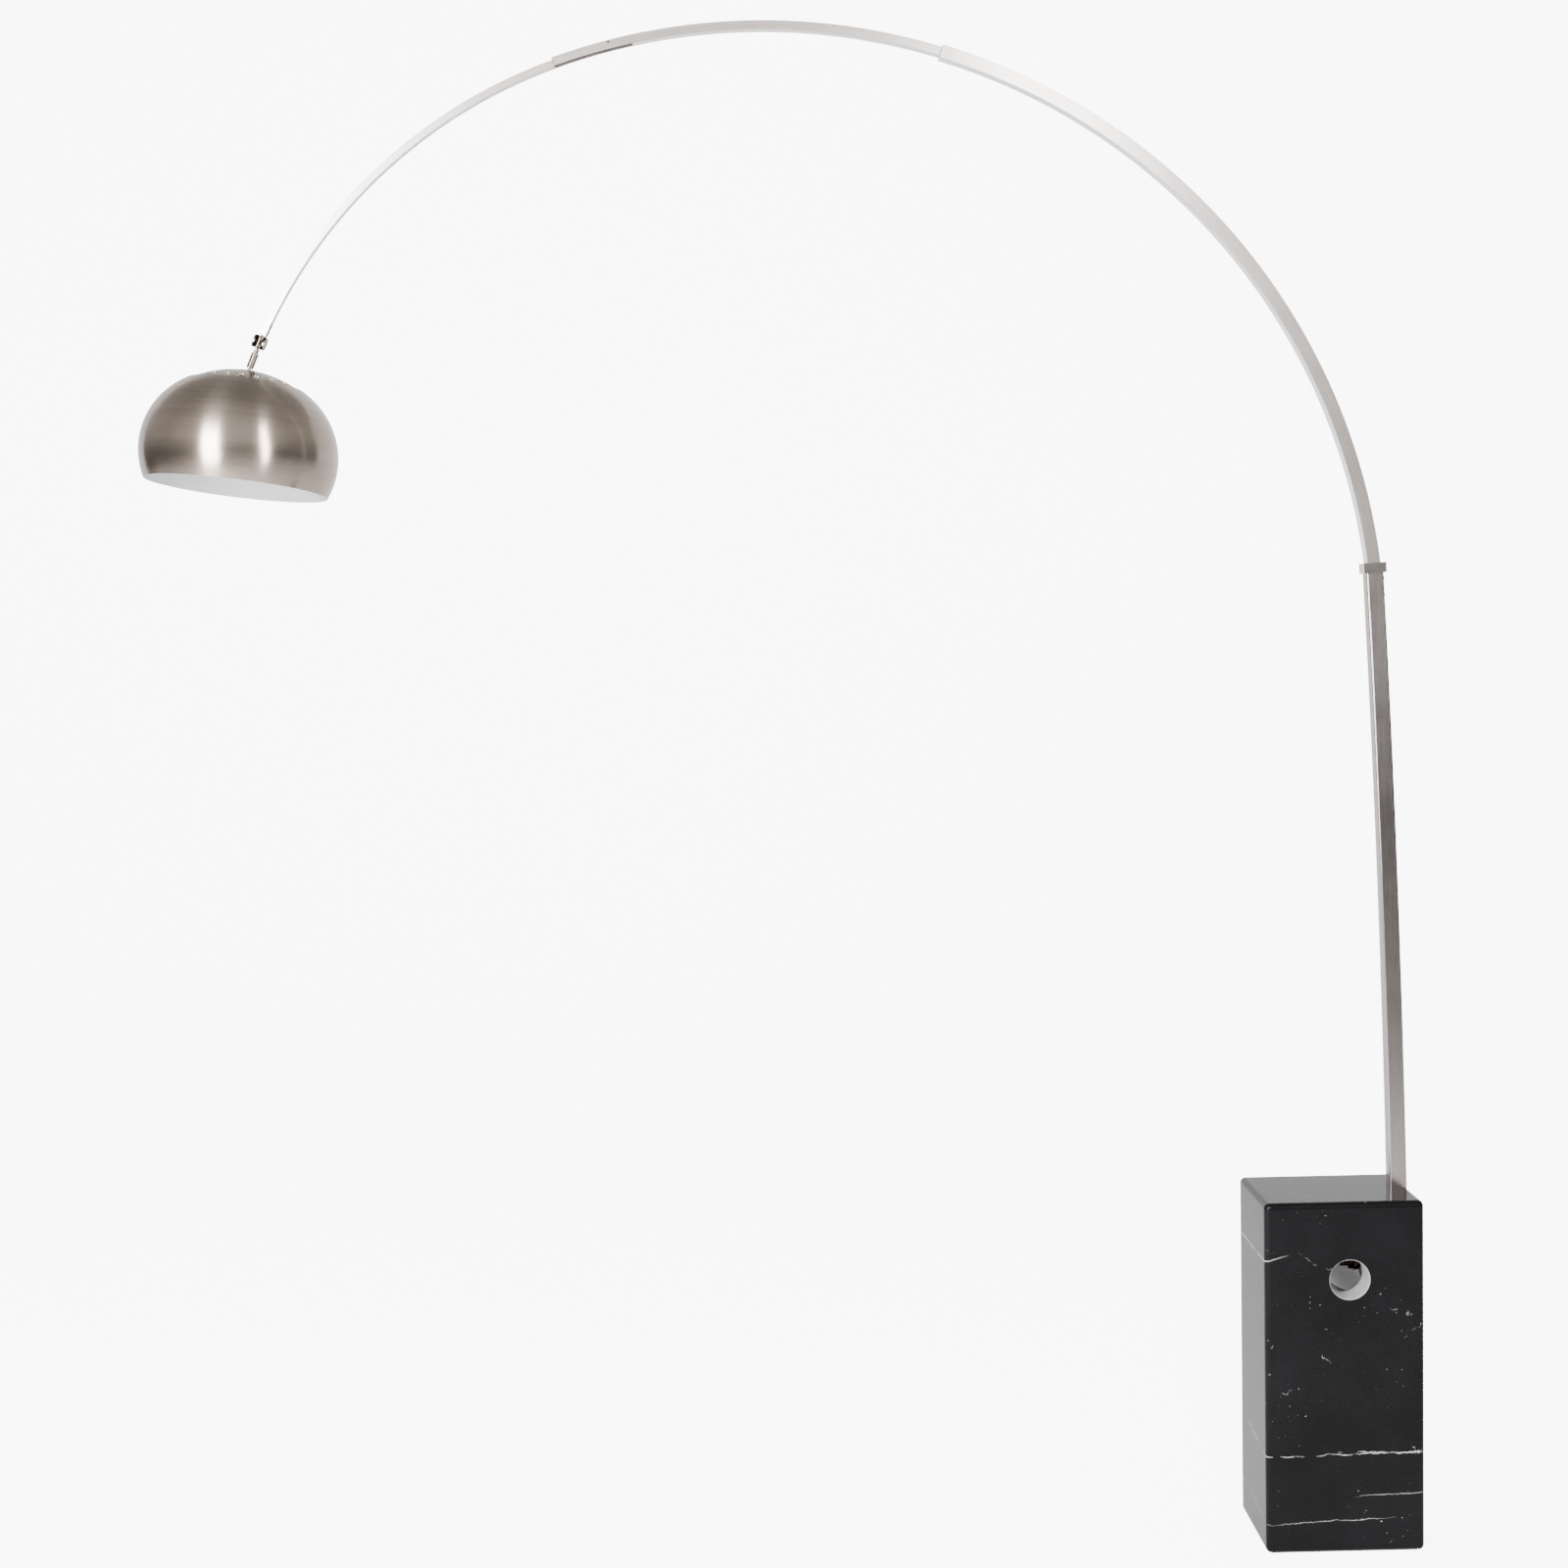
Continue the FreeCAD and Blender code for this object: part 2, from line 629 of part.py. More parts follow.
def chamfer_mouth(body, turn):
    """Take the sharp outer edge off a section's mouth, where the next section slides out."""
    doc.recompute()
    chamfer = body.newObject("PartDesign::Chamfer", body.Name + "_mouth")
    chamfer.Base = (turn, mouth_edges(turn.Shape, turn.Angle.Value))
    bind(chamfer, Size="mouth_chamfer")


def channel(name, place, outer_radius, depth, width, sweep, with_mouth=False):
    """Curved channel, open towards the centre of its arc."""
    body = body_at(name + "_body", place)
    profile = sketch_on(body, name + "_profile")
    line = polygon(profile, [(80, -9), (100, -9), (100, 9), (80, 9), (80, 7), (98, 7), (98, -7), (80, -7)])
    for number in (0, 2, 4, 6):
        constrain(profile, "Horizontal", line + number)
    for number in (3, 7):
        constrain(profile, "Vertical", line + number)
    for number in (1, 5):
        constrain(profile, "Symmetric", line + number, 1, line + number, 2, -1)
    constrain(profile, "Vertical", line, 1, line + 2, 2)
    constrain(profile, "DistanceX", -1, 1, line, 2, formula=outer_radius)
    constrain(profile, "DistanceX", line, 1, line, 2, formula=depth)
    constrain(profile, "DistanceX", line + 5, 1, line + 1, 2, formula="channel_wall")
    constrain(profile, "DistanceY", line + 1, 1, line + 1, 2, formula=width)
    constrain(profile, "DistanceY", line + 3, 2, line + 3, 1, formula="channel_wall")
    turn = revolve(body, profile, sweep)
    if with_mouth:
        chamfer_mouth(body, turn)
    return body


NEST = "channel_wall + nest_gap_radial"
MIDDLE_WIDTH = "lower_width - 2 * channel_wall - 2 * nest_gap_side"
TIP_WIDTH = "lower_width - 4 * channel_wall - 4 * nest_gap_side"


def lower_grub_place():
    return on_arc(LOWER_END - size.grub_from_mouth, size.arc_outer_radius).multiply(
        Placement(Vector(), ALONG_MINUS_X))


def middle_grub_place():
    """On the front wall, a little outside the section's mid-line."""
    half_width = size.lower_width / 2 - size.channel_wall - size.nest_gap_side
    return offset(on_arc(MIDDLE_END - size.grub_from_mouth, MIDDLE_OUTER_RADIUS - size.channel_wall * 1.5),
                  y=-half_width, turn=ALONG_Y)


def arc_lower_section():
    gap_angle = math.degrees(size.spigot_gap / LOWER_MID_RADIUS)
    body = channel("lower_channel", on_arc(size.arc_start + gap_angle), "arc_outer_radius", "lower_depth",
                   "lower_width", "lower_sweep - spigot_gap / arc_outer_radius * 180 / pi", True)
    holes = [cylinder(f"arc_screw_hole_{number}", place, "screw_diameter / 2", "screw_length")
             for number, place in enumerate(arc_screw_places())]
    holes.append(cylinder("lower_grub_hole", lower_grub_place(), "grub_diameter / 2", "channel_wall * 2"))
    return publish(cut("lower_section", body, *holes), "arc_lower_section")


def arc_middle_section():
    body = channel("middle_channel", on_arc(MIDDLE_START), f"arc_outer_radius - ({NEST})",
                   "middle_depth", MIDDLE_WIDTH, "middle_sweep", True)
    hole = cylinder("middle_grub_hole", middle_grub_place(), "grub_diameter / 2", "channel_wall * 2")
    return publish(cut("middle_section", body, hole), "arc_middle_section")


def arc_tip_section():
    """A shallower tail that slides over the middle section's cover, then a stretch bent a little tighter."""
    outer = "arc_outer_radius - 2 * channel_wall - 2 * nest_gap_radial"
    hidden = channel("tip_hidden", on_arc(TIP_START), outer, "tip_tail_depth", TIP_WIDTH, "overlap_sweep")
    visible = channel("tip_visible", on_arc(MIDDLE_END, centre=TIP_CENTRE), "tip_radius + tip_depth / 2",
                      "tip_depth", TIP_WIDTH, "tip_sweep")
    pin = shank_pin_cylinder("tip_pin_hole")
    return publish(cut("tip_section", fuse("tip_channel", hidden, visible), pin), "arc_tip_section")


def grub_screws():
    """One locking screw near each mouth: on the outer wall below, on the front wall above."""
    lower = cylinder("lower_grub", lower_grub_place(), "grub_diameter / 2",
                     "channel_wall + nest_gap_radial - grub_gap")
    publish(lower, "lower_lock_screw")
    middle = cylinder("middle_grub", middle_grub_place(), "grub_diameter / 2",
                      "channel_wall + nest_gap_side - grub_gap / 2")
    publish(middle, "middle_lock_screw")


def cover(name, place, inner_radius, width, sweep):
    """Thin plastic strip that closes a channel's open side over the cable."""
    body = body_at(name, place)
    profile = sketch_on(body, name + "_profile")
    rectangle(profile, "cover_thickness", width, f"{inner_radius} + cover_thickness / 2")
    revolve(body, profile, sweep)
    return publish(body, name)


def cable_covers():
    """One cover in each section; the middle one stops where the tip section can slide in."""
    start = size.arc_start + math.degrees(3 * size.spigot_gap / size.arc_outer_radius)
    cover("lower_cable_cover", on_arc(start), "arc_outer_radius - lower_depth",
          "lower_width - 2 * channel_wall", "lower_sweep - 3 * spigot_gap / arc_outer_radius * 180 / pi")
    cover("middle_cable_cover", on_arc(MIDDLE_START), f"arc_outer_radius - ({NEST}) - middle_depth",
          MIDDLE_WIDTH + " - 2 * channel_wall", "middle_cover_sweep")
    cover("tip_cable_cover", on_arc(MIDDLE_END, centre=TIP_CENTRE), "tip_radius - tip_depth / 2",
          TIP_WIDTH + " - 2 * channel_wall", "tip_sweep - (shank_length + 1) / tip_radius * 180 / pi")


def cable_run(name, place, radius, lane, sweep):
    """Cable along an arc, in its own lane beside the arc's mid-plane."""
    body = body_at(name, place)
    profile = sketch_on(body, name + "_profile")
    ring = profile.addGeometry(Part.Circle(Vector(100, 1, 0), Vector(0, 0, 1), 1.0), False)
    constrain(profile, "Radius", ring, formula="cable_diameter / 2")
    constrain(profile, "DistanceX", -1, 1, ring, 3, formula=radius)
    if lane > 0:
        constrain(profile, "DistanceY", -1, 1, ring, 3, formula="cable_lane")
    else:
        constrain(profile, "DistanceY", ring, 3, -1, 1, formula="cable_lane")
    revolve(body, profile, sweep)
    return body


def cable_lower():
    """Supply cable from the grommet's level up the column and along the lower and middle sections."""
    lift = "nest_gap_radial * 2 + channel_wall * 3 + cable_lift"
    start_angle = math.degrees(size.grommet_height / size.column_bow_radius)
    in_column = cable_run("column_cable", offset(BOW_CENTRE, turn=Rotation(Y_AXIS, -start_angle)),
                          f"column_bow_radius - ({lift} - lower_depth / 2)", -1,
                          "(column_length - grommet_height) / column_bow_radius * 180 / pi")
    in_arc = cable_run("arc_cable", on_arc(size.arc_start), f"arc_outer_radius - ({lift})", -1,
                       "lower_cable_sweep")
    bend = sphere("cable_bend", offset(COLUMN_TOP, x=-CABLE_SHIFT, y=-size.cable_lane),
                  "cable_diameter / 2 + inner_clearance / 2")
    return publish(fuse("lower_cable", in_column, in_arc, bend), "cable_lower")


def cable_upper():
    """Second length, beside the first where they overlap, on to the knuckle."""
    lift = "nest_gap_radial * 2 + channel_wall * 3 + cable_lift"
    hidden = cable_run("upper_cable_hidden", on_arc(TIP_START - size.upper_cable_lead),
                       f"arc_outer_radius - ({lift})", 1, "upper_cable_lead + overlap_sweep")
    visible = cable_run("upper_cable_visible", on_arc(MIDDLE_END, centre=TIP_CENTRE),
                        "tip_radius + tip_depth / 2 - channel_wall - cable_lift", 1,
                        "tip_sweep - (shank_length + 1) / tip_radius * 180 / pi")
    return publish(fuse("upper_cable", hidden, visible), "cable_upper")


# ---------------------------------------------------------------- knuckle, stem and ball
def shank_pin_cylinder(name):
    half_width = size.lower_width / 2 - 2 * size.channel_wall - 2 * size.nest_gap_side
    place = offset(TIP_FACE, y=-half_width, z=-size.shank_pin_depth, turn=ALONG_Y)
    return cylinder(name, place, "shank_pin_diameter / 2", TIP_WIDTH)


def knuckle_upper():
    """Shank pinned into the tip section, carrying the right-hand lug of the pivot."""
    inward = -size.channel_wall / 2
    shank = box("shank", offset(TIP_FACE, x=inward, z=-size.shank_length),
                "tip_depth - channel_wall - 2 * shank_play",
                TIP_WIDTH + " - 2 * channel_wall - 2 * shank_play",
                "shank_length + knuckle_reach - lug_diameter / 2 - lug_gap")
    lug_place = offset(PIVOT, x=size.lug_gap / 2, turn=ALONG_X)
    disc = cylinder("upper_lug_disc", lug_place, "lug_diameter / 2", "lug_thickness")
    web = box("upper_web", offset(PIVOT, x=size.lug_gap / 2), "lug_thickness", "lug_diameter",
              "knuckle_reach - lug_gap", "y")
    rod = cylinder("upper_lug_rod", offset(PIVOT, z=-size.lug_diameter / 2), "lug_rod_diameter / 2",
                   "lug_diameter / 2 + knuckle_reach - lug_gap")
    lug = common("upper_lug", fuse("upper_plate", disc, web), rod)
    bore = cylinder("upper_lug_bore", offset(PIVOT, turn=ALONG_X), "pivot_diameter / 2",
                    "lug_gap + lug_thickness")
    cable_way = cylinder("shank_cable_way", offset(TIP_FACE, x=inward, z=-size.shank_length),
                         "cable_diameter / 2", "shank_pin_depth")
    blank = fuse("upper_blank", shank, lug)
    return publish(cut("upper_knuckle", blank, bore, cable_way, shank_pin_cylinder("shank_pin_hole")),
                   "knuckle_upper")


def shank_pin():
    return publish(shank_pin_cylinder("shank_pin_body"), "shank_pin")


def pivot_screw():
    """Round-headed screw through both lugs; its head is one of the two round discs."""
    reach = size.lug_gap / 2 + size.lug_thickness + size.disc_gap
    head = cylinder("pivot_head", offset(PIVOT, x=-reach - size.disc_thickness, turn=ALONG_X),
                    "lug_diameter / 2", "disc_thickness")
    shaft = cylinder("pivot_shaft", offset(PIVOT, x=-reach, turn=ALONG_X), "pivot_diameter / 2",
                     "lug_gap + 2 * lug_thickness + 2 * disc_gap + disc_thickness / 2")
    return publish(fuse("pivot_screw_body", head, shaft), "pivot_screw")


def pivot_cap():
    """Threaded disc that closes the other end of the pivot screw."""
    reach = size.lug_gap / 2 + size.lug_thickness + size.disc_gap
    disc = cylinder("pivot_cap_disc", offset(PIVOT, x=reach, turn=ALONG_X), "lug_diameter / 2",
                    "disc_thickness")
    thread = cylinder("pivot_cap_thread", offset(PIVOT, x=0, turn=ALONG_X), "pivot_diameter / 2",
                      "lug_gap / 2 + lug_thickness + disc_gap + disc_thickness / 2")
    return publish(cut("pivot_cap_body", disc, thread), "pivot_cap")


def knuckle_lower():
    """Left-hand lug, the slim neck below it and the pin that the stem turns on."""
    disc = cylinder("lower_lug_disc", offset(PIVOT, x=-size.lug_gap / 2, turn=ALONG_MINUS_X),
                    "lug_diameter / 2", "lug_thickness")
    web = box("lower_web", offset(PIVOT, x=-size.lug_gap / 2 - size.lug_thickness, z=-size.lower_web_length),
              "lug_thickness", "neck_diameter", "lower_web_length", "y")
    rod = cylinder("lower_lug_rod", offset(PIVOT, z=-size.lower_web_length), "lug_rod_diameter / 2",
                   "lower_web_length + lug_diameter / 2")
    lug = common("lower_lug", fuse("lower_plate", disc, web), rod)
    neck = cylinder("neck", offset(PIVOT, z=-size.stem_top), "neck_diameter / 2",
                    "stem_top - lug_diameter / 2 - lug_gap")
    pin_end = offset(PIVOT, z=-size.stem_top - size.swivel_gap - size.stem_pin_length)
    pin = cylinder("swivel_pin", pin_end, "stem_pin_diameter / 2", "stem_pin_length + swivel_gap")
    bore = cylinder("lower_lug_bore", offset(PIVOT, turn=ALONG_MINUS_X),
                    "pivot_diameter / 2 + running_clearance", "lug_gap + lug_thickness")
    groove_place = offset(swivel_screw_level(), z=-size.swivel_screw_diameter / 2 - size.swivel_groove_play)
    groove_height = "swivel_screw_diameter + 2 * swivel_groove_play"
    ring = cylinder("groove_outside", groove_place, "stem_pin_diameter", groove_height)
    core = cylinder("groove_core", groove_place, "stem_pin_diameter / 2 - swivel_groove_depth",
                    groove_height)
    return publish(cut("lower_knuckle", fuse("lower_blank", lug, neck, pin), bore,
                       cut("pin_groove", ring, core)), "knuckle_lower")


def swivel_screw_level():
    """Half way down the swivel pin."""
    return offset(PIVOT, z=-size.stem_top - size.swivel_gap - size.stem_pin_length / 2)


def swivel_screw_cylinder(name):
    place = offset(swivel_screw_level(), y=size.stem_diameter / 2,
                   turn=ALONG_Y.multiply(DOWNWARD))
    return cylinder(name, place, "swivel_screw_diameter / 2",
                    "stem_diameter / 2 - stem_pin_diameter / 2 + swivel_groove_depth / 2")


def swivel_stem():
    """Chromed tube between the knuckle and the ball."""
    bottom = offset(STEM, z=size.ball_neck_length)
    height = "ball_from_pivot - ball_neck_length - stem_top - swivel_gap"
    tube = cylinder("stem_tube", bottom, "stem_diameter / 2", height)
    top_bore = cylinder("stem_top_bore", offset(PIVOT, z=-size.stem_top - size.stem_pin_length
                                                - 2 * size.swivel_gap),
                        "stem_pin_diameter / 2 + running_clearance", "stem_pin_length + 2 * swivel_gap")
    ball_bore = cylinder("stem_ball_bore", STEM, "ball_neck_diameter / 2",
                         "ball_neck_length + ball_diameter / 2")
    return publish(cut("stem", tube, top_bore, ball_bore, swivel_screw_cylinder("stem_screw_hole")),
                   "swivel_stem")


def stem_screw():
    return publish(swivel_screw_cylinder("stem_screw_body"), "stem_set_screw")


def swivel_ball():
    ball = sphere("ball", STEM, "ball_diameter / 2")
    neck = cylinder("ball_neck", STEM, "ball_neck_diameter / 2", "ball_neck_length + ball_diameter / 2")
    return publish(fuse("ball_and_neck", ball, neck), "swivel_ball")


# ---------------------------------------------------------------- socket, cap, dome
def seat_sphere(name):
    return sphere(name, SOCKET, "ball_diameter / 2 + running_clearance")


def socket_cup():
    """Flanged cup over the upper half of the ball; its flange rests on the cap."""
    tube = cylinder("cup_tube", offset(SOCKET, z=-size.socket_split), "socket_diameter / 2",
                    "socket_split + ball_depth + flange_lift / 2")
    flange = cylinder("cup_flange", offset(SOCKET, z=size.ball_depth - size.flange_lift),
                      "flange_diameter / 2", "flange_thickness")
    flare = cone("cup_flare", offset(SOCKET, z=size.socket_lip),
                 "sqrt((ball_diameter / 2 + running_clearance)^2 - socket_lip^2)", "socket_flare / 2",
                 "ball_depth - flange_lift + flange_thickness - socket_lip")
    return publish(cut("cup", fuse("cup_blank", tube, flange), seat_sphere("cup_seat"), flare),
                   "socket_cup")


def socket_base():
    """Lower half of the socket, screwed over the cup, with the hollow stud for the lamp holder."""
    block = cylinder("socket_block", offset(SOCKET, z=-size.socket_below),
                     "socket_diameter / 2 + skirt_wall", "socket_below - socket_split + skirt_height")
    recess = cylinder("cup_recess", offset(SOCKET, z=-size.socket_split), "socket_diameter / 2",
                      "skirt_height + 1")
    stud = cylinder("stud", offset(SOCKET, z=-size.socket_below - size.stud_length),
                    "stud_diameter / 2", "stud_length")
    wire_way = cylinder("stud_wire_way", offset(SOCKET, z=-size.socket_below - size.stud_length),
                        "cable_diameter / 2", "stud_length + socket_below")
    return publish(cut("base_of_socket", fuse("socket_blank", block, stud), recess,
                       seat_sphere("base_seat"), wire_way), "socket_base")


def cap_nut():
    """Ring nut that clamps the cap up against the cup's flange."""
    low = size.skirt_height - size.socket_split
    place = offset(SOCKET, z=low + size.flange_lift)
    ring = cylinder("cap_nut_ring", place, "flange_diameter / 2", "cap_nut_thickness")
    bore = cylinder("cap_nut_bore", place, "socket_diameter / 2", "cap_nut_thickness")
    return publish(cut("nut_of_cap", ring, bore), "cap_nut")


def arc_about(sketch, centre, radius, low_x, high_x):
    """Arc about a point, from its point at one X down to its point at another, both on its upper side."""
    start = math.acos((low_x - centre.x) / radius)
    end = math.acos((high_x - centre.x) / radius)
    ring = Part.Circle(centre, Vector(0, 0, 1), radius)
    return sketch.addGeometry(Part.ArcOfCircle(ring, min(start, end), max(start, end)), False)


def shade_cap():
    """Perforated spherical cap under the dome's opening."""
    body = body_at("cap_body", SHADE)
    profile = sketch_on(body, "cap_profile", "XZ_Plane")
    centre = Vector(0, -size.dome_top_drop, 0)
    bore = size.socket_diameter / 2 + size.cap_bore_play
    outer = arc_about(profile, centre, CAP_OUTER_RADIUS, size.cap_edge_radius, bore)
    inner = arc_about(profile, centre, CAP_OUTER_RADIUS - size.cap_wall, size.cap_edge_radius, bore)
    for start_point in (1, 2):
        ends = [profile.getPoint(arc, start_point) for arc in (outer, inner)]
        line = profile.addGeometry(Part.LineSegment(*ends), False)
        constrain(profile, "Coincident", line, 1, outer, start_point)
        constrain(profile, "Coincident", line, 2, inner, start_point)
        constrain(profile, "Vertical", line)
    constrain(profile, "PointOnObject", outer, 3, -2)
    constrain(profile, "DistanceY", outer, 3, -1, 1, formula="dome_top_drop")
    constrain(profile, "Coincident", inner, 3, outer, 3)
    radius = "sqrt(dome_side_offset^2 + dome_top_drop^2) + dome_side_radius - dome_wall - dome_gap"
    constrain(profile, "Radius", outer, formula=radius)
    constrain(profile, "Radius", inner, formula=radius + " - cap_wall")
    constrain(profile, "DistanceX", -1, 1, outer, 1, formula="cap_edge_radius")
    constrain(profile, "DistanceX", -1, 1, outer, 2, formula="socket_diameter / 2 + cap_bore_play")
    revolve(body, profile)
    hole_sketch = sketch_on(body, "cap_hole")
    circle(hole_sketch, "cap_hole_diameter / 2", "cap_hole_circle")
    hole = pocket(body, hole_sketch, "dome_side_radius * 2", reverse=True)
    doc.recompute()
    pattern = body.newObject("PartDesign::PolarPattern", "cap_holes")
    pattern.Originals = [hole]
    pattern.Axis = (hole_sketch, ["N_Axis"])
    pattern.Angle = 360
    bind(pattern, Occurrences="cap_hole_count")
    body.Tip = pattern
    return publish(body, "shade_cap")


def shade_dome():
    """Spun dome: a round side that runs into a spherical top, which rides over the cap."""
    body = body_at("dome_body", SHADE)
    profile = sketch_on(body, "dome_profile", "XZ_Plane")
    side_centre = Vector(size.dome_side_offset, 0, 0)
    top_centre = Vector(0, -size.dome_top_drop, 0)
    meeting = math.atan2(size.dome_top_drop, size.dome_side_offset)
    lean = math.hypot(size.dome_side_offset, size.dome_top_drop)

    def skin(thinner):
        """Side arc and top arc of one face of the sheet."""
        side_radius = size.dome_side_radius - thinner
        rim = math.asin(-size.dome_rim_drop / side_radius)
        opening = math.acos(size.dome_opening_radius / (side_radius + lean))
        side = Part.ArcOfCircle(Part.Circle(side_centre, Vector(0, 0, 1), side_radius), rim, meeting)
        top = Part.ArcOfCircle(Part.Circle(top_centre, Vector(0, 0, 1), side_radius + lean), meeting, opening)
        side_number = profile.addGeometry(side, False)
        top_number = profile.addGeometry(top, False)
        constrain(profile, "Tangent", side_number, 2, top_number, 1)
        return side_number, top_number

    outer_side, outer_top = skin(0)
    inner_side, inner_top = skin(size.dome_wall)
    constrain(profile, "PointOnObject", outer_side, 3, -1)
    constrain(profile, "DistanceX", -1, 1, outer_side, 3, formula="dome_side_offset")
    constrain(profile, "PointOnObject", outer_top, 3, -2)
    constrain(profile, "DistanceY", outer_top, 3, -1, 1, formula="dome_top_drop")
    constrain(profile, "Radius", outer_side, formula="dome_side_radius")
    constrain(profile, "Coincident", inner_side, 3, outer_side, 3)
    constrain(profile, "Coincident", inner_top, 3, outer_top, 3)
    constrain(profile, "Radius", inner_side, formula="dome_side_radius - dome_wall")
    for kind, outer, inner, point in (("Horizontal", outer_side, inner_side, 1),
                                      ("Vertical", outer_top, inner_top, 2)):
        ends = [profile.getPoint(arc, point) for arc in (outer, inner)]
        line = profile.addGeometry(Part.LineSegment(*ends), False)
        constrain(profile, "Coincident", line, 1, outer, point)
        constrain(profile, "Coincident", line, 2, inner, point)
        constrain(profile, kind, line)
    constrain(profile, "DistanceY", outer_side, 1, -1, 1, formula="dome_rim_drop")
    constrain(profile, "DistanceX", -1, 1, outer_top, 2, formula="dome_opening_radius")
    revolve(body, profile)
    return publish(body, "shade_dome")


# ---------------------------------------------------------------- lamp holder and bulb
HOLDER = offset(SOCKET, z=-size.socket_below - size.stud_length + size.stud_in_holder)
CAVITY = offset(HOLDER, z=-size.holder_taper - size.holder_wall)
BULB = offset(CAVITY, z=-size.insulator_thickness - size.contact_thickness - size.bulb_gap)


def holder_locknut():
    nut = hexagon("locknut_blank", HOLDER, "locknut_across_flats", "locknut_thickness")
    bore = cylinder("locknut_bore", HOLDER, "stud_diameter / 2", "locknut_thickness")
    return publish(cut("locknut", nut, bore), "holder_locknut")


def holder_body():
    """Moulded lamp holder: a tapered shoulder and a straight skirt."""
    straight = cylinder("holder_skirt", offset(HOLDER, z=-size.holder_length), "holder_diameter / 2",
                        "holder_length - holder_taper")
    taper = cone("holder_shoulder", offset(HOLDER, z=-size.holder_taper), "holder_diameter / 2",
                 "holder_top_diameter / 2", "holder_taper")
    cavity = cylinder("holder_cavity", offset(HOLDER, z=-size.holder_length),
                      "holder_diameter / 2 - holder_wall", "holder_length - holder_taper - holder_wall")
    bore = cylinder("holder_bore", offset(HOLDER, z=-size.stud_in_holder), "stud_diameter / 2",
                    "stud_in_holder")
    wires = cylinder("holder_wire_way", offset(HOLDER, z=-size.holder_length), "cable_diameter / 2",
                     "holder_length")
    return publish(cut("holder", fuse("holder_blank", straight, taper), cavity, bore, wires), "holder_body")


def holder_inside():
    """Ceramic insulator, brass screw shell and centre contact."""
    insulator = cylinder("insulator_disc", offset(CAVITY, z=-size.insulator_thickness),
                         "holder_diameter / 2 - holder_wall", "insulator_thickness")
    publish(insulator, "holder_insulator")
    shell_length = "holder_length - holder_taper - holder_wall - insulator_thickness"
    shell_place = offset(HOLDER, z=-size.holder_length)
    shell = cylinder("shell_outside", shell_place, "shell_diameter / 2", shell_length)
    hollow = cylinder("shell_inside", shell_place, "shell_diameter / 2 - shell_wall", shell_length)
    publish(cut("shell", shell, hollow), "holder_screw_shell")
    contact = cylinder("contact_disc", offset(CAVITY, z=-size.insulator_thickness - size.contact_thickness),
                       "contact_diameter / 2", "contact_thickness")
    publish(contact, "holder_contact")


def bulb():
    """Screw base and pear-shaped glass."""
    base = cylinder("base_shell", offset(BULB, z=-size.bulb_base_length),
                    "bulb_base_diameter / 2", "bulb_base_length - contact_thickness")
    tip = cylinder("base_tip", offset(BULB, z=-size.contact_thickness), "contact_diameter / 2",
                   "contact_thickness")
    publish(fuse("bulb_base_body", base, tip), "bulb_screw_base")

    def glass(name, thinner):
        """Round end and tapered neck, smaller all round by a wall when the inside is wanted."""
        centre = offset(BULB, z=-size.bulb_length + size.bulb_glass_diameter / 2)
        ball = sphere(name + "_ball", centre, f"bulb_glass_diameter / 2 - {thinner}")
        neck = cone(name + "_neck", offset(BULB, z=-size.bulb_base_length - size.bulb_neck_length),
                    f"bulb_glass_diameter * 0.42 - {thinner}", f"bulb_base_diameter / 2 - {thinner}",
                    "bulb_neck_length")
        return fuse(name, ball, neck)

    publish(cut("glass", glass("glass_outside", "0"), glass("glass_inside", "bulb_glass_wall")),
            "bulb_glass")


# ---------------------------------------------------------------- build, check and write
def build():
    marble_base()
    base_felt()
    column_tube()
    column_anchor()
    clamp()
    cable_grommet()
    column_collar()
    collar_screw()
    arc_spigot()
    spigot_screws()
    arc_lower_section()
    arc_middle_section()
    arc_tip_section()
    grub_screws()
    cable_covers()
    cable_lower()
    cable_upper()
    knuckle_upper()
    shank_pin()
    pivot_screw()
    pivot_cap()
    knuckle_lower()
    swivel_stem()
    stem_screw()
    swivel_ball()
    socket_cup()
    socket_base()
    cap_nut()
    shade_cap()
    shade_dome()
    holder_locknut()
    holder_body()
    holder_inside()
    bulb()


def check_and_write():
    doc.recompute()
    for item in doc.Objects:
        if "Invalid" in item.State or "Error" in item.State:
            raise RuntimeError(f"{item.Name} failed: {item.State}")
    os.makedirs("parts", exist_ok=True)
    for node in nodes:
        shape = node.Shape
        if shape.isNull() or not shape.isValid() or not shape.Solids:
            raise RuntimeError(f"{node.Label} has no sound solid")
        shape.exportStep(f"parts/{node.Label}.step")
        print(f"{node.Label:24s} solids {len(shape.Solids)}  {shape.Volume / 1000:10.3f} cm3")


build()
check_and_write()
print("nodes", len(nodes))
for label, place in (("arc centre", ARC_CENTRE), ("pivot", PIVOT_POINT), ("ball", BALL_POINT),
                     ("shade", SHADE.Base), ("column top", COLUMN_TOP.Base)):
    print(f"{label:12s} {place.x:9.2f} {place.y:9.2f} {place.z:9.2f}")
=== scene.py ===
# %% [markdown]
# # An arc floor lamp
# The lamp is a marble block with a steel column, a long arc of three nested steel channels and a
# spun metal shade. Its solid parts come ready made, so the work here is finish and fine form:
# stone, brushed steel, enamel, and the small turned and threaded pieces.

# %% Load the solid parts
import json
import math

import bmesh
import bpy
from mathutils import Matrix, Vector


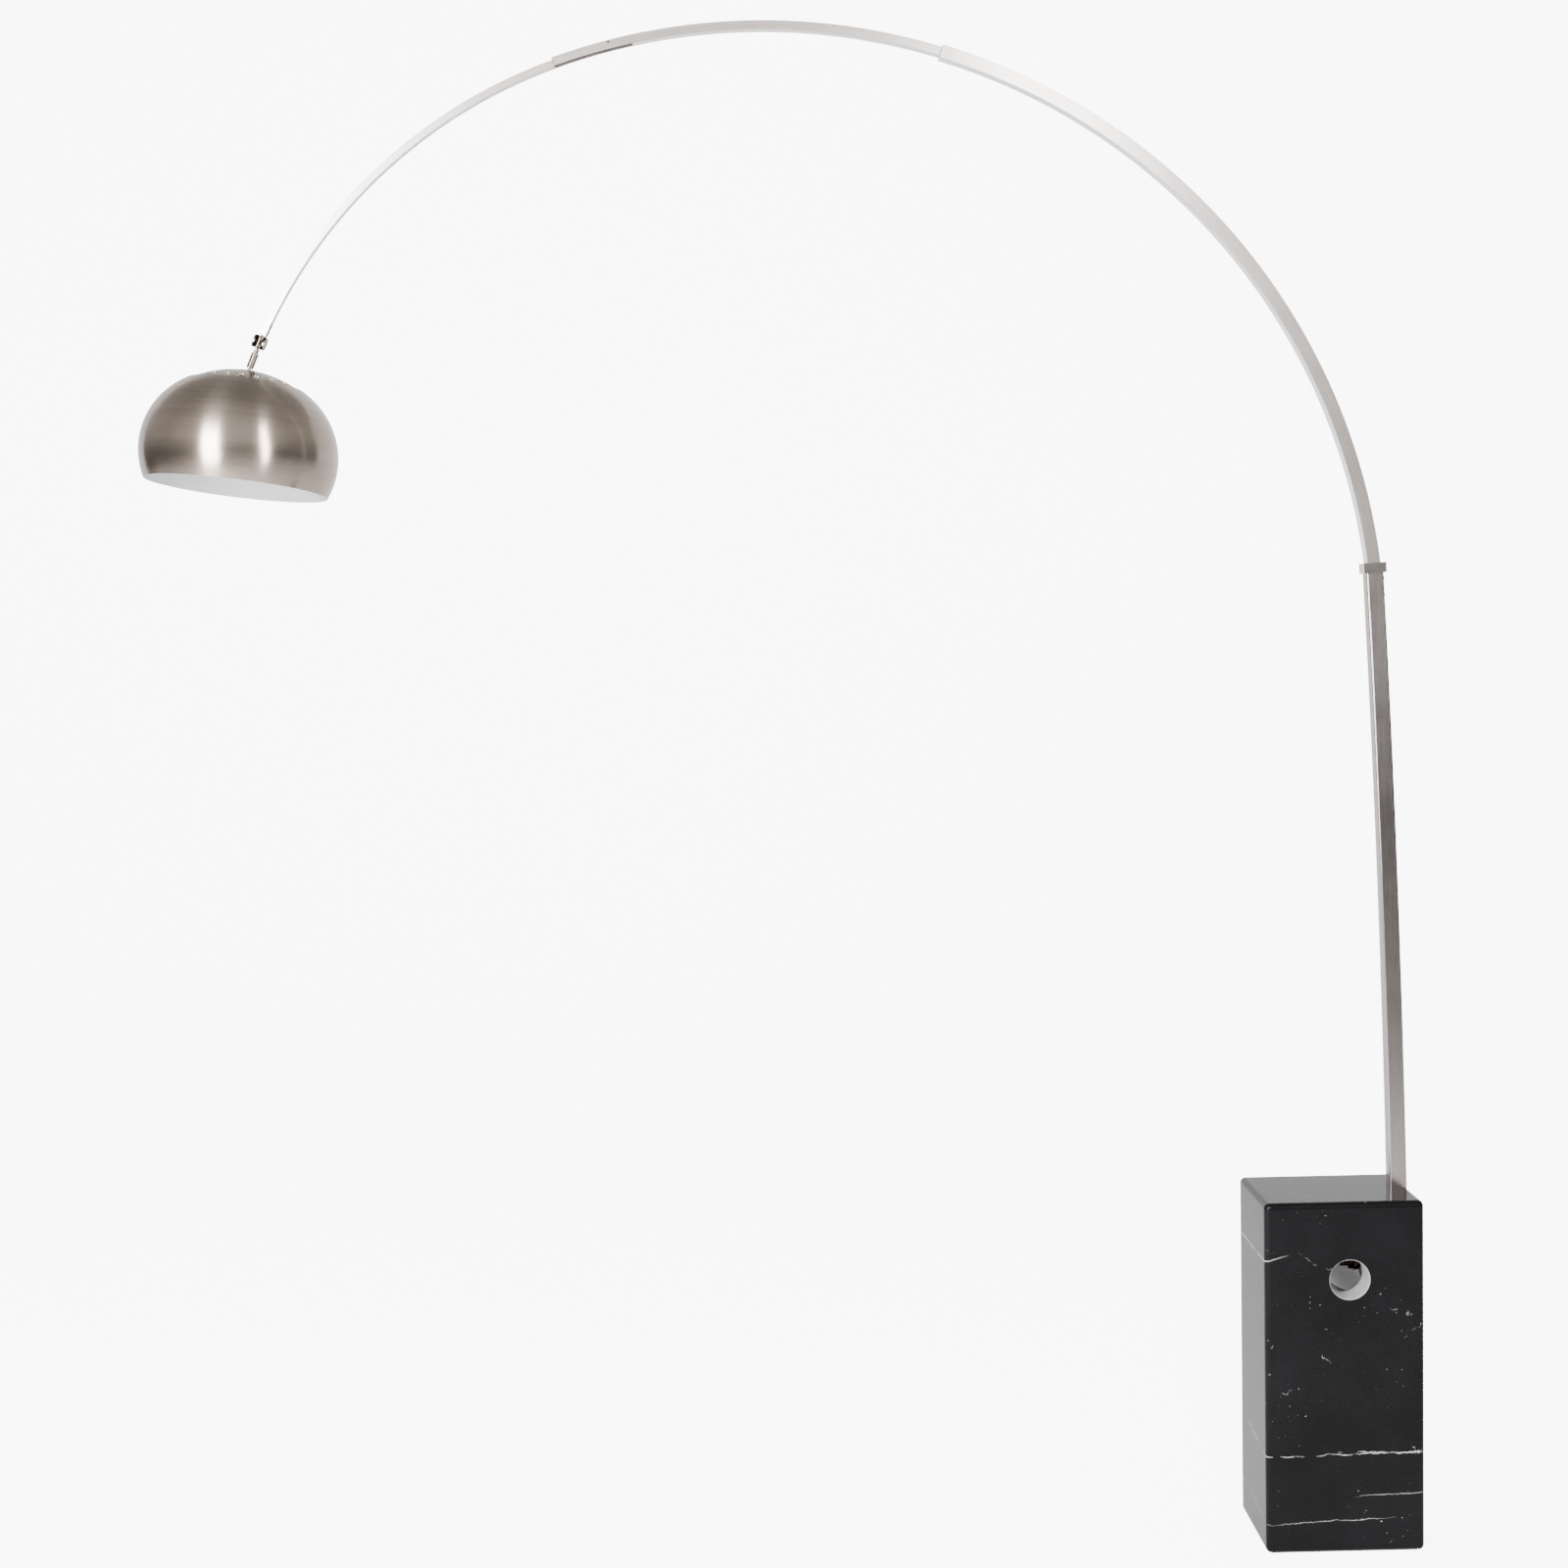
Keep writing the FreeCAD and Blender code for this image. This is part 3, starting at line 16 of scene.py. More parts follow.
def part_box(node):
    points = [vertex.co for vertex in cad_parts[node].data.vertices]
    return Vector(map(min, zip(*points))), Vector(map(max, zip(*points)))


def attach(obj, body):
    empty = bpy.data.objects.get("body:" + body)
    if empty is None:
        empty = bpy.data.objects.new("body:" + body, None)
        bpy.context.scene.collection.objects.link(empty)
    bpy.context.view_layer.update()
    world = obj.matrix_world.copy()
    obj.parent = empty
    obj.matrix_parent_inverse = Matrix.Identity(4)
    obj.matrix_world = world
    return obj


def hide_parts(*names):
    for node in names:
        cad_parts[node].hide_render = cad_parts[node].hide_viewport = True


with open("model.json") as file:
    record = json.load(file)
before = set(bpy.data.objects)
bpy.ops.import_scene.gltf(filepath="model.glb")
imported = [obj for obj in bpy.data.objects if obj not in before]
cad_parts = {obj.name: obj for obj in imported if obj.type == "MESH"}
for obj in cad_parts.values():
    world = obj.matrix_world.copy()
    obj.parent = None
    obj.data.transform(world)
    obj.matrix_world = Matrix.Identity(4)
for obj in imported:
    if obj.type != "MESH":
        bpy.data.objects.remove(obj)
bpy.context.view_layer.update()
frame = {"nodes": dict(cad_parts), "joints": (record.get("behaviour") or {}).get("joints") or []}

nodes = frame["nodes"]
joints = {joint["name"]: joint for joint in frame["joints"]}
print("solid parts:", len(nodes), "joints:", len(joints))

# %% [markdown]
# ## The viewpoint
# A camera can be aimed with a constraint or placed by its own three axes. The axes are used here,
# because a tiny roll and pitch are part of the view and a constraint would hide them.

# %% Place the camera
CAMERA_PLACE = Vector((-0.865, -3.347, 1.409))
CAMERA_YAW, CAMERA_PITCH, CAMERA_ROLL = (math.radians(angle) for angle in (0.36, -3.5, -1.17))
FOCAL_IN_WIDTHS = 1.379375
SENSOR_WIDTH = 36.0


def camera_axes(yaw, pitch, roll):
    """Right, up and backward directions of a camera that looks along +Y before it is turned."""
    forward = Vector((math.sin(yaw) * math.cos(pitch), math.cos(yaw) * math.cos(pitch), math.sin(pitch)))
    level_right = Vector((math.cos(yaw), -math.sin(yaw), 0))
    level_up = level_right.cross(forward)
    right = math.cos(roll) * level_right + math.sin(roll) * level_up
    up = -math.sin(roll) * level_right + math.cos(roll) * level_up
    return right, up, -forward


camera = bpy.data.objects.new("camera", bpy.data.cameras.new("camera"))
bpy.context.scene.collection.objects.link(camera)
camera.data.sensor_width = SENSOR_WIDTH
camera.data.lens = SENSOR_WIDTH * FOCAL_IN_WIDTHS
turn = Matrix(camera_axes(CAMERA_YAW, CAMERA_PITCH, CAMERA_ROLL)).transposed()
camera.matrix_world = Matrix.Translation(CAMERA_PLACE) @ turn.to_4x4()
bpy.context.scene.camera = camera
print("lens", round(camera.data.lens, 2), "mm")

# %% [markdown]
# ## The studio
# Polished metal shows its surroundings more than its own colour. A plain pale floor and backdrop
# would leave steel flat white, so the surroundings get a darker band at eye level, and are dimmer at
# the sides and back than in front. The floor is a plain sheet that turns up at the back.

# %% Floor and backdrop
FLOOR_HALF_WIDTH, FLOOR_FRONT, WALL_AT, WALL_TOP = 9.0, -3.3, 5.0, 7.0
BEND, BEND_STEPS = 2.0, 16


def link(mesh_object):
    bpy.context.scene.collection.objects.link(mesh_object)
    return mesh_object


def mesh_from(name, points, faces):
    mesh = bpy.data.meshes.new(name)
    mesh.from_pydata(points, [], faces)
    mesh.update()
    return link(bpy.data.objects.new(name, mesh))


def backdrop():
    line = [(FLOOR_FRONT, 0.0), (WALL_AT - BEND, 0.0)]
    for step in range(1, BEND_STEPS + 1):
        angle = math.pi / 2 * step / BEND_STEPS
        line.append((WALL_AT - BEND + BEND * math.sin(angle), BEND - BEND * math.cos(angle)))
    line.append((WALL_AT, WALL_TOP))
    points = [(side * FLOOR_HALF_WIDTH, y, z) for y, z in line for side in (-1, 1)]
    faces = [(2 * i, 2 * i + 1, 2 * i + 3, 2 * i + 2) for i in range(len(line) - 1)]
    sheet = mesh_from("studio_floor", points, faces)
    for face in sheet.data.polygons:
        face.use_smooth = True
    return sheet


floor = backdrop()
print("floor faces", len(floor.data.polygons))

# %% [markdown]
# ## Node helpers
# Every finish is a small graph of texture nodes. A few helpers keep those graphs readable: one adds
# a node with its inputs, one does arithmetic, and one starts a material with its main shader.

# %% Helpers for finishes
def add_node(tree, kind, settings=None, **inputs):
    """Add a node; inputs are plain values or other nodes' outputs, by socket name."""
    node = tree.nodes.new(kind)
    for name, value in (settings or {}).items():
        setattr(node, name, value)
    for name, value in inputs.items():
        by_number = name[0] == "i" and name[1:].isdigit()
        socket = node.inputs[int(name[1:]) if by_number else name]
        if isinstance(value, bpy.types.NodeSocket):
            tree.links.new(value, socket)
        else:
            socket.default_value = value
    return node


def maths(tree, operation, *values, clamp=False):
    settings = {"operation": operation, "use_clamp": clamp}
    inputs = {f"i{number}": value for number, value in enumerate(values)}
    return add_node(tree, "ShaderNodeMath", settings, **inputs).outputs[0]


def remap(tree, value, low, high, to_low=0.0, to_high=1.0):
    node = add_node(tree, "ShaderNodeMapRange", None, Value=value)
    ends = {"From Min": low, "From Max": high, "To Min": to_low, "To Max": to_high}
    for socket, number in ends.items():
        node.inputs[socket].default_value = number
    return node.outputs[0]


def separate(tree, place):
    return add_node(tree, "ShaderNodeSeparateXYZ", None, Vector=place).outputs


def stretch(tree, place, factors):
    return add_node(tree, "ShaderNodeVectorMath", {"operation": "MULTIPLY"}, i0=place, i1=factors).outputs[0]


def distance(tree, first, second):
    """Length of the line with these two legs."""
    squares = [maths(tree, "MULTIPLY", leg, leg) for leg in (first, second)]
    return maths(tree, "SQRT", maths(tree, "ADD", *squares))


def noise(tree, place, scale, detail=3.0, rough=0.5):
    settings = {"Scale": scale, "Detail": detail, "Roughness": rough}
    return add_node(tree, "ShaderNodeTexNoise", None, Vector=place, **settings).outputs[0]


def blend_colours(tree, amount, first, second):
    node = add_node(tree, "ShaderNodeMix", {"data_type": "RGBA"}, Factor=amount)
    for socket, colour in ((node.inputs[6], first), (node.inputs[7], second)):
        if isinstance(colour, bpy.types.NodeSocket):
            tree.links.new(colour, socket)
        else:
            socket.default_value = (*colour, 1.0)
    return node.outputs[2]


def new_finish(name, colour, metallic, roughness, **extra):
    """Material with a main shader; constants go straight onto the shader's own sockets."""
    material = bpy.data.materials.new(name)
    material.use_nodes = True
    shader = material.node_tree.nodes["Principled BSDF"]
    shader.inputs["Base Color"].default_value = (*colour, 1.0)
    shader.inputs["Metallic"].default_value = metallic
    shader.inputs["Roughness"].default_value = roughness
    for socket, value in extra.items():
        shader.inputs[socket.replace("_", " ")].default_value = value
    return material, material.node_tree, shader


def object_place(tree):
    return add_node(tree, "ShaderNodeTexCoord").outputs["Object"]


def add_bump(tree, shader, height, strength, distance):
    bump = add_node(tree, "ShaderNodeBump", None, Height=height, Strength=strength, Distance=distance)
    tree.links.new(bump.outputs[0], shader.inputs["Normal"])


def give(material, *names):
    """Put one material on solid parts by name."""
    for name in names:
        slots = nodes[name].data.materials
        slots.clear()
        slots.append(material)


print("helpers ready")

# %% [markdown]
# ## Black marble
# Polished black limestone is nearly black with a few white calcite veins. A vein is the trace of a
# thin sheet that runs through the block, so each is modelled as the distance to a gently sloping,
# wavy sheet. It then shows on every face where it comes out. Painted lines would stop at an edge.

# %% Veins
PATCH_FADE, END_FADE, VEIN_CORE = 0.14, 0.02, 0.3
WANDER_SCALE, WANDER_DETAIL, WANDER_ROUGH = 11.0, 6.0, 0.72


def vein(tree, place, height, slope_x, slope_y, wave, width, patch_scale, patch_low, shift,
         from_x=-1.0, to_x=1.0):
    """Brightness of one vein, and the gap to it: its sheet's height and slopes, waviness, width, and
    where it shows."""
    axes = separate(tree, place)
    moved = add_node(tree, "ShaderNodeVectorMath", {"operation": "ADD"}, i0=place, i1=(shift, shift, shift))
    wander = noise(tree, moved.outputs[0], WANDER_SCALE, WANDER_DETAIL, WANDER_ROUGH)
    sheet = maths(tree, "MULTIPLY_ADD", wander, wave, height - wave / 2)
    sheet = maths(tree, "MULTIPLY_ADD", axes[0], slope_x, sheet)
    sheet = maths(tree, "MULTIPLY_ADD", axes[1], slope_y, sheet)
    gap = maths(tree, "ABSOLUTE", maths(tree, "SUBTRACT", axes[2], sheet))
    patches = noise(tree, moved.outputs[0], patch_scale, 4.0, 0.6)
    strength = remap(tree, patches, patch_low, patch_low + PATCH_FADE)
    begins = remap(tree, axes[0], from_x - END_FADE, from_x + END_FADE)
    strength = maths(tree, "MULTIPLY", strength, begins)
    ends = remap(tree, axes[0], to_x + END_FADE, to_x - END_FADE)
    strength = maths(tree, "MULTIPLY", strength, ends)
    core = remap(tree, gap, width, width * VEIN_CORE)
    return maths(tree, "MULTIPLY", core, strength, clamp=True), gap


def flakes(tree, place, scale, threshold):
    """Small broken flakes, sparse where the threshold is high."""
    flat = stretch(tree, place, (1.0, 1.0, 1.8))
    return remap(tree, noise(tree, flat, scale, 2.0, 0.5), threshold, threshold + 0.04)


def scattered_flakes(tree, place):
    """Faint flakes over the whole block, in loose patches."""
    patches = remap(tree, noise(tree, place, 9.0, 3.0), 0.50, 0.62, 0.0, 0.6)
    return maths(tree, "MULTIPLY", flakes(tree, place, 120.0, 0.72), patches)


def clusters(tree, place, gap, reach, from_x):
    """Flakes that gather along a vein."""
    across = separate(tree, place)[0]
    near = remap(tree, gap, reach, reach * 0.2)
    here = remap(tree, noise(tree, place, 20.0, 2.0), 0.54, 0.62)
    side = remap(tree, across, from_x - END_FADE, from_x + END_FADE)
    broken = maths(tree, "MULTIPLY", flakes(tree, place, 150.0, 0.60), near)
    return maths(tree, "MULTIPLY", broken, maths(tree, "MULTIPLY", here, side))


print("veins ready")

# %% [markdown]
# The carrying hole was drilled and left ground, not polished, so its wall is pale grey. The pale grey is
# put only near the front mouth; deeper in, the wall keeps the black stone colour as painted shade.
# A mask does that: it asks how far a point lies from the hole's axis.

# %% Marble finish
HOLE_X, HOLE_Z, HOLE_RADIUS = 0.0075, 0.430, 0.0305
WALL_REACH, WALL_FADE = 0.0006, 0.0008
# Depth where the hole wall turns from pale ground stone to painted shade, and the fade between.
PAINTED_SHADE_FROM, PAINTED_SHADE_FADE = 0.044, 0.006


def ground_wall_shade_mask(tree, place):
    """One on the ground hole wall near the front mouth, zero elsewhere: the deeper wall is painted shade."""
    axes = separate(tree, place)
    aside = maths(tree, "SUBTRACT", axes[0], HOLE_X)
    above = maths(tree, "SUBTRACT", axes[2], HOLE_Z)
    reach = distance(tree, aside, above)
    wall_ends = HOLE_RADIUS + WALL_REACH
    on_wall = remap(tree, reach, wall_ends + WALL_FADE, wall_ends)
    # Painted shade: deeper than this the hole wall keeps the black stone colour.
    unshaded_mouth = remap(tree, axes[1], -PAINTED_SHADE_FROM, -PAINTED_SHADE_FROM - PAINTED_SHADE_FADE)
    return maths(tree, "MULTIPLY", on_wall, unshaded_mouth, clamp=True)


def marble_finish():
    material, tree, shader = new_finish("black_marble", (0.005, 0.005, 0.0055), 0.0, 0.1,
                                        Specular_IOR_Level=0.15)
    place = object_place(tree)
    main, main_gap = vein(tree, place, 0.166, 0.012, 0.10, 0.020, 0.0010, 30.0, 0.42, 1.7)
    second = vein(tree, place, 0.076, 0.04, -0.15, 0.016, 0.0008, 16.0, 0.36, 4.1, from_x=0.03)[0]
    third = vein(tree, place, 0.062, 0.05, 0.10, 0.020, 0.0009, 14.0, 0.34, 7.7, to_x=0.06)[0]
    lines = [
        maths(tree, "MULTIPLY", main, 0.8),
        vein(tree, place, 0.169, 0.0, 0.10, 0.024, 0.0007, 34.0, 0.48, 3.3, from_x=-0.02)[0],
        maths(tree, "MULTIPLY", second, 0.4),
        maths(tree, "MULTIPLY", third, 0.45),
        vein(tree, place, 0.492, 0.25, 0.00, 0.010, 0.0010, 30.0, 0.30, 5.2, to_x=-0.105)[0],
        vein(tree, place, 0.455, -0.55, 0.25, 0.080, 0.0006, 26.0, 0.56, 11.3)[0],
        vein(tree, place, 0.270, 0.45, -0.30, 0.110, 0.0006, 24.0, 0.58, 15.9)[0],
        vein(tree, place, 0.340, -1.10, 0.60, 0.120, 0.0006, 18.0, 0.58, 19.3)[0],
        clusters(tree, place, main_gap, 0.011, -0.03),
        scattered_flakes(tree, place),
    ]
    total = lines[0]
    for other in lines[1:]:
        total = maths(tree, "MAXIMUM", total, other)
    cloud = remap(tree, noise(tree, place, 7.0, 6.0, 0.6), 0.35, 0.75)
    stone = blend_colours(tree, cloud, (0.0025, 0.0024, 0.003), (0.007, 0.0068, 0.008))
    polished_stone = blend_colours(tree, total, stone, (0.72, 0.71, 0.69))
    ground_unshaded_wall = ground_wall_shade_mask(tree, place)
    # Pale ground stone near the front mouth only; deeper in the hole the black stays as painted shade.
    colour = blend_colours(tree, ground_unshaded_wall, polished_stone, (0.42, 0.42, 0.42))
    tree.links.new(colour, shader.inputs["Base Color"])
    polish = remap(tree, total, 0.0, 1.0, 0.09, 0.3)
    roughness = maths(tree, "MAXIMUM", polish, maths(tree, "MULTIPLY", ground_unshaded_wall, 0.7))
    tree.links.new(roughness, shader.inputs["Roughness"])
    add_bump(tree, shader, total, 0.15, 0.0003)
    return material


give(marble_finish(), "marble_base")
print("marble done")

# %% [markdown]
# ## Brushed steel
# Brushing leaves fine parallel scratches along the metal. They could be one image, but stretched
# noise does it at any length: the noise is scaled hard across the brushing and hardly along it. On
# the arc, "along" is the angle about the arc's centre, so the place is turned into polar form first.

# %% Steel finishes
ARC_CENTRE = Vector(joints["extend_middle"]["pos_m"])
ARC_RADIUS = 0.95


def polar_place(tree, centre, radius):
    """Place as (radius, depth, length along the arc) about an axis parallel to Y."""
    place = add_node(tree, "ShaderNodeVectorMath", {"operation": "SUBTRACT"}, i0=object_place(tree),
                     i1=tuple(centre)).outputs[0]
    axes = separate(tree, place)
    angle = maths(tree, "ARCTAN2", axes[2], axes[0])
    reach = distance(tree, axes[0], axes[2])
    along = maths(tree, "MULTIPLY", angle, radius)
    return add_node(tree, "ShaderNodeCombineXYZ", None, X=reach, Y=axes[1], Z=along).outputs[0]


def brushed(name, colour, roughness, place_maker, across=2600.0, along=14.0, depth=0.00003, **extra):
    """Brushed metal; the last axis of the place runs along the brushing."""
    material, tree, shader = new_finish(name, colour, 1.0, roughness, **extra)
    place = place_maker(tree)
    scratches = noise(tree, stretch(tree, place, (across, across, along)), 1.0, 4.0, 0.6)
    bands = noise(tree, stretch(tree, place, (across / 9, across / 9, along / 5)), 1.0, 3.0, 0.5)
    smudges = noise(tree, place, 9.0, 4.0, 0.6)
    tone = remap(tree, maths(tree, "ADD", scratches, bands), 0.7, 1.3)
    dark = tuple(channel * 0.84 for channel in colour)
    tree.links.new(blend_colours(tree, tone, dark, colour), shader.inputs["Base Color"])
    wear = maths(tree, "ADD", maths(tree, "MULTIPLY", scratches, 0.12),
                 maths(tree, "MULTIPLY", smudges, 0.10))
    tree.links.new(maths(tree, "ADD", wear, roughness - 0.11), shader.inputs["Roughness"])
    add_bump(tree, shader, scratches, 0.35, depth)
    return material


def gloss_round(material):
    """Line a finish's stretched gloss up with the direction round Z."""
    tree = material.node_tree
    tangent = add_node(tree, "ShaderNodeTangent", {"direction_type": "RADIAL", "axis": "Z"})
    tree.links.new(tangent.outputs[0], tree.nodes["Principled BSDF"].inputs["Tangent"])
    return material


column_steel = gloss_round(brushed("column_steel", (0.50, 0.455, 0.44), 0.22, object_place,
                                   Anisotropic=0.6))
arc_steel = brushed("arc_steel", (0.64, 0.59, 0.555), 0.28,
                    lambda tree: polar_place(tree, ARC_CENTRE, ARC_RADIUS))
give(column_steel, "column_tube")
give(arc_steel, "arc_lower_section", "arc_middle_section", "arc_tip_section")
print("steel done")

# %% [markdown]
# ## Polished and small metal parts
# The collar, knuckle and stem are polished, so they need little texture: a trace of unevenness and
# fine handling marks. Screws are blackened. Fixings in the carrying hole are dull bronze.

# %% Finishes for the small parts
def plain_finish(name, colour, metallic, roughness, grain=400.0, uneven=0.06, depth=0.00004, **extra):
    """Finish with fine grain in colour, roughness and surface."""
    material, tree, shader = new_finish(name, colour, metallic, roughness, **extra)
    place = object_place(tree)
    grains = noise(tree, place, grain, 3.0, 0.6)
    patches = noise(tree, place, grain / 12, 4.0, 0.6)
    dark = tuple(channel * 0.88 for channel in colour)
    tree.links.new(blend_colours(tree, patches, dark, colour), shader.inputs["Base Color"])
    tree.links.new(remap(tree, patches, 0.3, 0.7, max(roughness - uneven, 0.02), roughness + uneven),
                   shader.inputs["Roughness"])
    add_bump(tree, shader, grains, 0.25, depth)
    return material


polished = plain_finish("polished_steel", (0.78, 0.76, 0.73), 1.0, 0.12, depth=0.000005)
chrome = plain_finish("knuckle_chrome", (0.20, 0.17, 0.145), 1.0, 0.2, depth=0.000005)
plain_steel = plain_finish("turned_steel", (0.5, 0.49, 0.48), 1.0, 0.32)
blackened = plain_finish("blackened_steel", (0.06, 0.055, 0.05), 0.9, 0.34)
dull_bronze = plain_finish("dull_bronze", (0.13, 0.085, 0.05), 1.0, 0.34)
cover_white = plain_finish("white_cover", (0.84, 0.85, 0.87), 0.0, 0.42)
rubber = plain_finish("black_rubber", (0.022, 0.022, 0.022), 0.0, 0.62, grain=900.0)
felt = plain_finish("black_felt", (0.02, 0.02, 0.02), 0.0, 0.95, grain=2200.0, depth=0.0004,
                    Sheen_Weight=0.4)
ceramic = plain_finish("white_ceramic", (0.82, 0.81, 0.77), 0.0, 0.25)
bakelite = plain_finish("black_holder", (0.02, 0.019, 0.018), 0.0, 0.3)
shell_brass = plain_finish("screw_shell", (0.76, 0.62, 0.38), 1.0, 0.25)
bulb_metal = plain_finish("bulb_metal", (0.72, 0.72, 0.7), 1.0, 0.3)

give(polished, "column_collar", "spigot_screws")
give(chrome, "knuckle_upper", "knuckle_lower", "pivot_screw", "pivot_cap", "swivel_stem", "swivel_ball",
     "socket_cup")
give(plain_steel, "column_anchor", "arc_spigot", "shank_pin", "socket_base", "cap_nut", "holder_locknut")
give(blackened, "collar_screw", "lower_lock_screw", "middle_lock_screw", "stem_set_screw")
give(dull_bronze, "clamp_washer", "clamp_nut", "clamp_rod")
give(cover_white, "lower_cable_cover", "middle_cable_cover", "tip_cable_cover")
give(rubber, "cable_grommet", "cable_lower", "cable_upper")
give(felt, "base_felt")
give(ceramic, "holder_insulator")
give(bakelite, "holder_body")
give(shell_brass, "holder_screw_shell", "holder_contact")
give(bulb_metal, "bulb_screw_base")
print("small parts done")

# %% [markdown]
# ## The shade
# The dome is spun on a lathe from one disc, which leaves fine rings round its axis. It is turned in
# the same way here: one outline goes round the axis. The solid part could be kept, but a turned
# sheet with many steps gives cleaner highlights, which matter most on a round polished form.

# %% Frame of the shade
SHADE_LEAN, SHADE_PITCH = math.radians(6.8), math.radians(3.2)
SIDE_RADIUS, SIDE_OFFSET, TOP_DROP, WALL = 0.122, 0.027, 0.036, 0.001
DOME_GAP, BALL_DEPTH = 0.0013, 0.0055
BALL_TO_CENTRE = math.hypot(SIDE_OFFSET, TOP_DROP) + SIDE_RADIUS - WALL - DOME_GAP - TOP_DROP - BALL_DEPTH
shade_turn = Matrix.Rotation(-SHADE_PITCH, 4, "X") @ Matrix.Rotation(SHADE_LEAN, 4, "Y")
ball_point = Vector(joints["head_tilt"]["pos_m"])
shade_frame = Matrix.Translation(ball_point) @ shade_turn @ Matrix.Translation((0, 0, -BALL_TO_CENTRE))
print("shade centre", [round(value, 4) for value in shade_frame.translation])

# %% Turn the dome
RIM_DROP, OPENING_RADIUS = 0.051, 0.088
ROUND_STEPS, SIDE_STEPS, TOP_STEPS = 192, 60, 8
SHARP_ANGLE = math.radians(35)
MERGE_WITHIN = 1e-7


def arc_points(centre, radius, start, end, steps):
    return [(centre[0] + radius * math.cos(start + (end - start) * step / steps),
             centre[1] + radius * math.sin(start + (end - start) * step / steps))
            for step in range(steps + 1)]


def skin_line(thinner):
    """Outline of one face of the sheet, from the rim up to the opening."""
    side = SIDE_RADIUS - thinner
    top = SIDE_RADIUS + math.hypot(SIDE_OFFSET, TOP_DROP) - thinner
    meeting = math.atan2(TOP_DROP, SIDE_OFFSET)
    line = arc_points((SIDE_OFFSET, 0), side, math.asin(-RIM_DROP / side), meeting, SIDE_STEPS)
    opening = math.acos(OPENING_RADIUS / top)
    return line + arc_points((0, -TOP_DROP), top, meeting, opening, TOP_STEPS)[1:]


def rounded_end(first, second, steps=5):
    """Half circle that joins the ends of two faces, so that the sheet's edge is soft."""
    middle = ((first[0] + second[0]) / 2, (first[1] + second[1]) / 2)
    radius = math.dist(first, second) / 2
    start = math.atan2(first[1] - middle[1], first[0] - middle[0])
    return arc_points(middle, radius, start, start + math.pi, steps)[1:-1]


def swept_round(name, outline_at, steps=ROUND_STEPS, closed=True):
    """Mesh whose outline of (radius, height) points may change with the angle round Z."""
    points, faces = [], []
    for step in range(steps):
        angle = 2 * math.pi * step / steps
        outline = outline_at(angle)
        points += [(radius * math.cos(angle), radius * math.sin(angle), height)
                   for radius, height in outline]
    count = len(outline)
    for step in range(steps):
        here, there = step * count, (step + 1) % steps * count
        for number in range(count if closed else count - 1):
            after = (number + 1) % count
            faces.append((here + number, there + number, there + after, here + after))
    piece = mesh_from(name, points, faces)
    mesh = bmesh.new()
    mesh.from_mesh(piece.data)
    bmesh.ops.remove_doubles(mesh, verts=mesh.verts, dist=MERGE_WITHIN)
    bmesh.ops.recalc_face_normals(mesh, faces=mesh.faces)
    for edge in mesh.edges:
        edge.smooth = len(edge.link_faces) == 2 and edge.calc_face_angle() < SHARP_ANGLE
    mesh.to_mesh(piece.data)
    mesh.free()
    for face in piece.data.polygons:
        face.use_smooth = True
    return piece


def turned(name, outline, closed=True):
    """Turn one outline of (radius, height) points about Z."""
    return swept_round(name, lambda angle: outline, closed=closed)


def shade_dome():
    outer, inner = skin_line(0.0), skin_line(WALL)
    rim = rounded_end(inner[0], outer[0])
    lip = rounded_end(outer[-1], inner[-1])
    dome = turned("dome_skin", outer + lip + inner[::-1] + rim)
    dome.matrix_world = shade_frame
    return dome


dome = shade_dome()
print("dome faces", len(dome.data.polygons))

# %% [markdown]
# The outside is brushed in rings, so its scratches run round the axis and spread highlights up and
# down. That is what anisotropy does: the tangent runs round the axis and the gloss stretches across
# it. The inside is sprayed white enamel, faintly uneven like all spray paint.

# %% Finish the dome
SHADE_RADIUS = 0.15


def ring_place(tree, frame_of_shade=None):
    """Place as (radius, height, length round the axis) of the shade."""
    place = object_place(tree)
    if frame_of_shade is not None:
        mapping = add_node(tree, "ShaderNodeMapping", {"vector_type": "TEXTURE"}, Vector=place)
        mapping.inputs["Location"].default_value = frame_of_shade.translation
        mapping.inputs["Rotation"].default_value = frame_of_shade.to_euler()
        place = mapping.outputs[0]
    axes = separate(tree, place)
    reach = distance(tree, axes[0], axes[1])
    around = maths(tree, "MULTIPLY", maths(tree, "ARCTAN2", axes[1], axes[0]), SHADE_RADIUS)
    return add_node(tree, "ShaderNodeCombineXYZ", None, X=reach, Y=axes[2], Z=around).outputs[0]


def spun(name, place_maker):
    return gloss_round(brushed(name, (0.42, 0.355, 0.30), 0.24, place_maker, across=1500.0, along=10.0,
                               depth=0.00002, Anisotropic=0.8, Anisotropic_Rotation=0.25))


enamel = plain_finish("white_enamel", (0.93, 0.945, 0.95), 0.0, 0.35, grain=260.0, depth=0.00002)
spun_metal = spun("spun_metal", ring_place)
dome.data.materials.append(spun_metal)
dome.data.materials.append(enamel)

TOP_STARTS = SIDE_RADIUS * math.sin(math.atan2(TOP_DROP, SIDE_OFFSET))
NOT_EDGE_ON = 1e-4


def paint_inside(piece):
    """Enamel goes on every face that looks towards the middle of the curve it lies on."""
    for face in piece.data.polygons:
        radial = Vector((face.center.x, face.center.y, 0))
        on_side = radial.normalized() * SIDE_OFFSET
        middle = on_side if face.center.z < TOP_STARTS else Vector((0, 0, -TOP_DROP))
        face.material_index = 1 if face.normal.dot(face.center - middle) < -NOT_EDGE_ON else 0


paint_inside(dome)
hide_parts("shade_dome")
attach(dome, "dome")

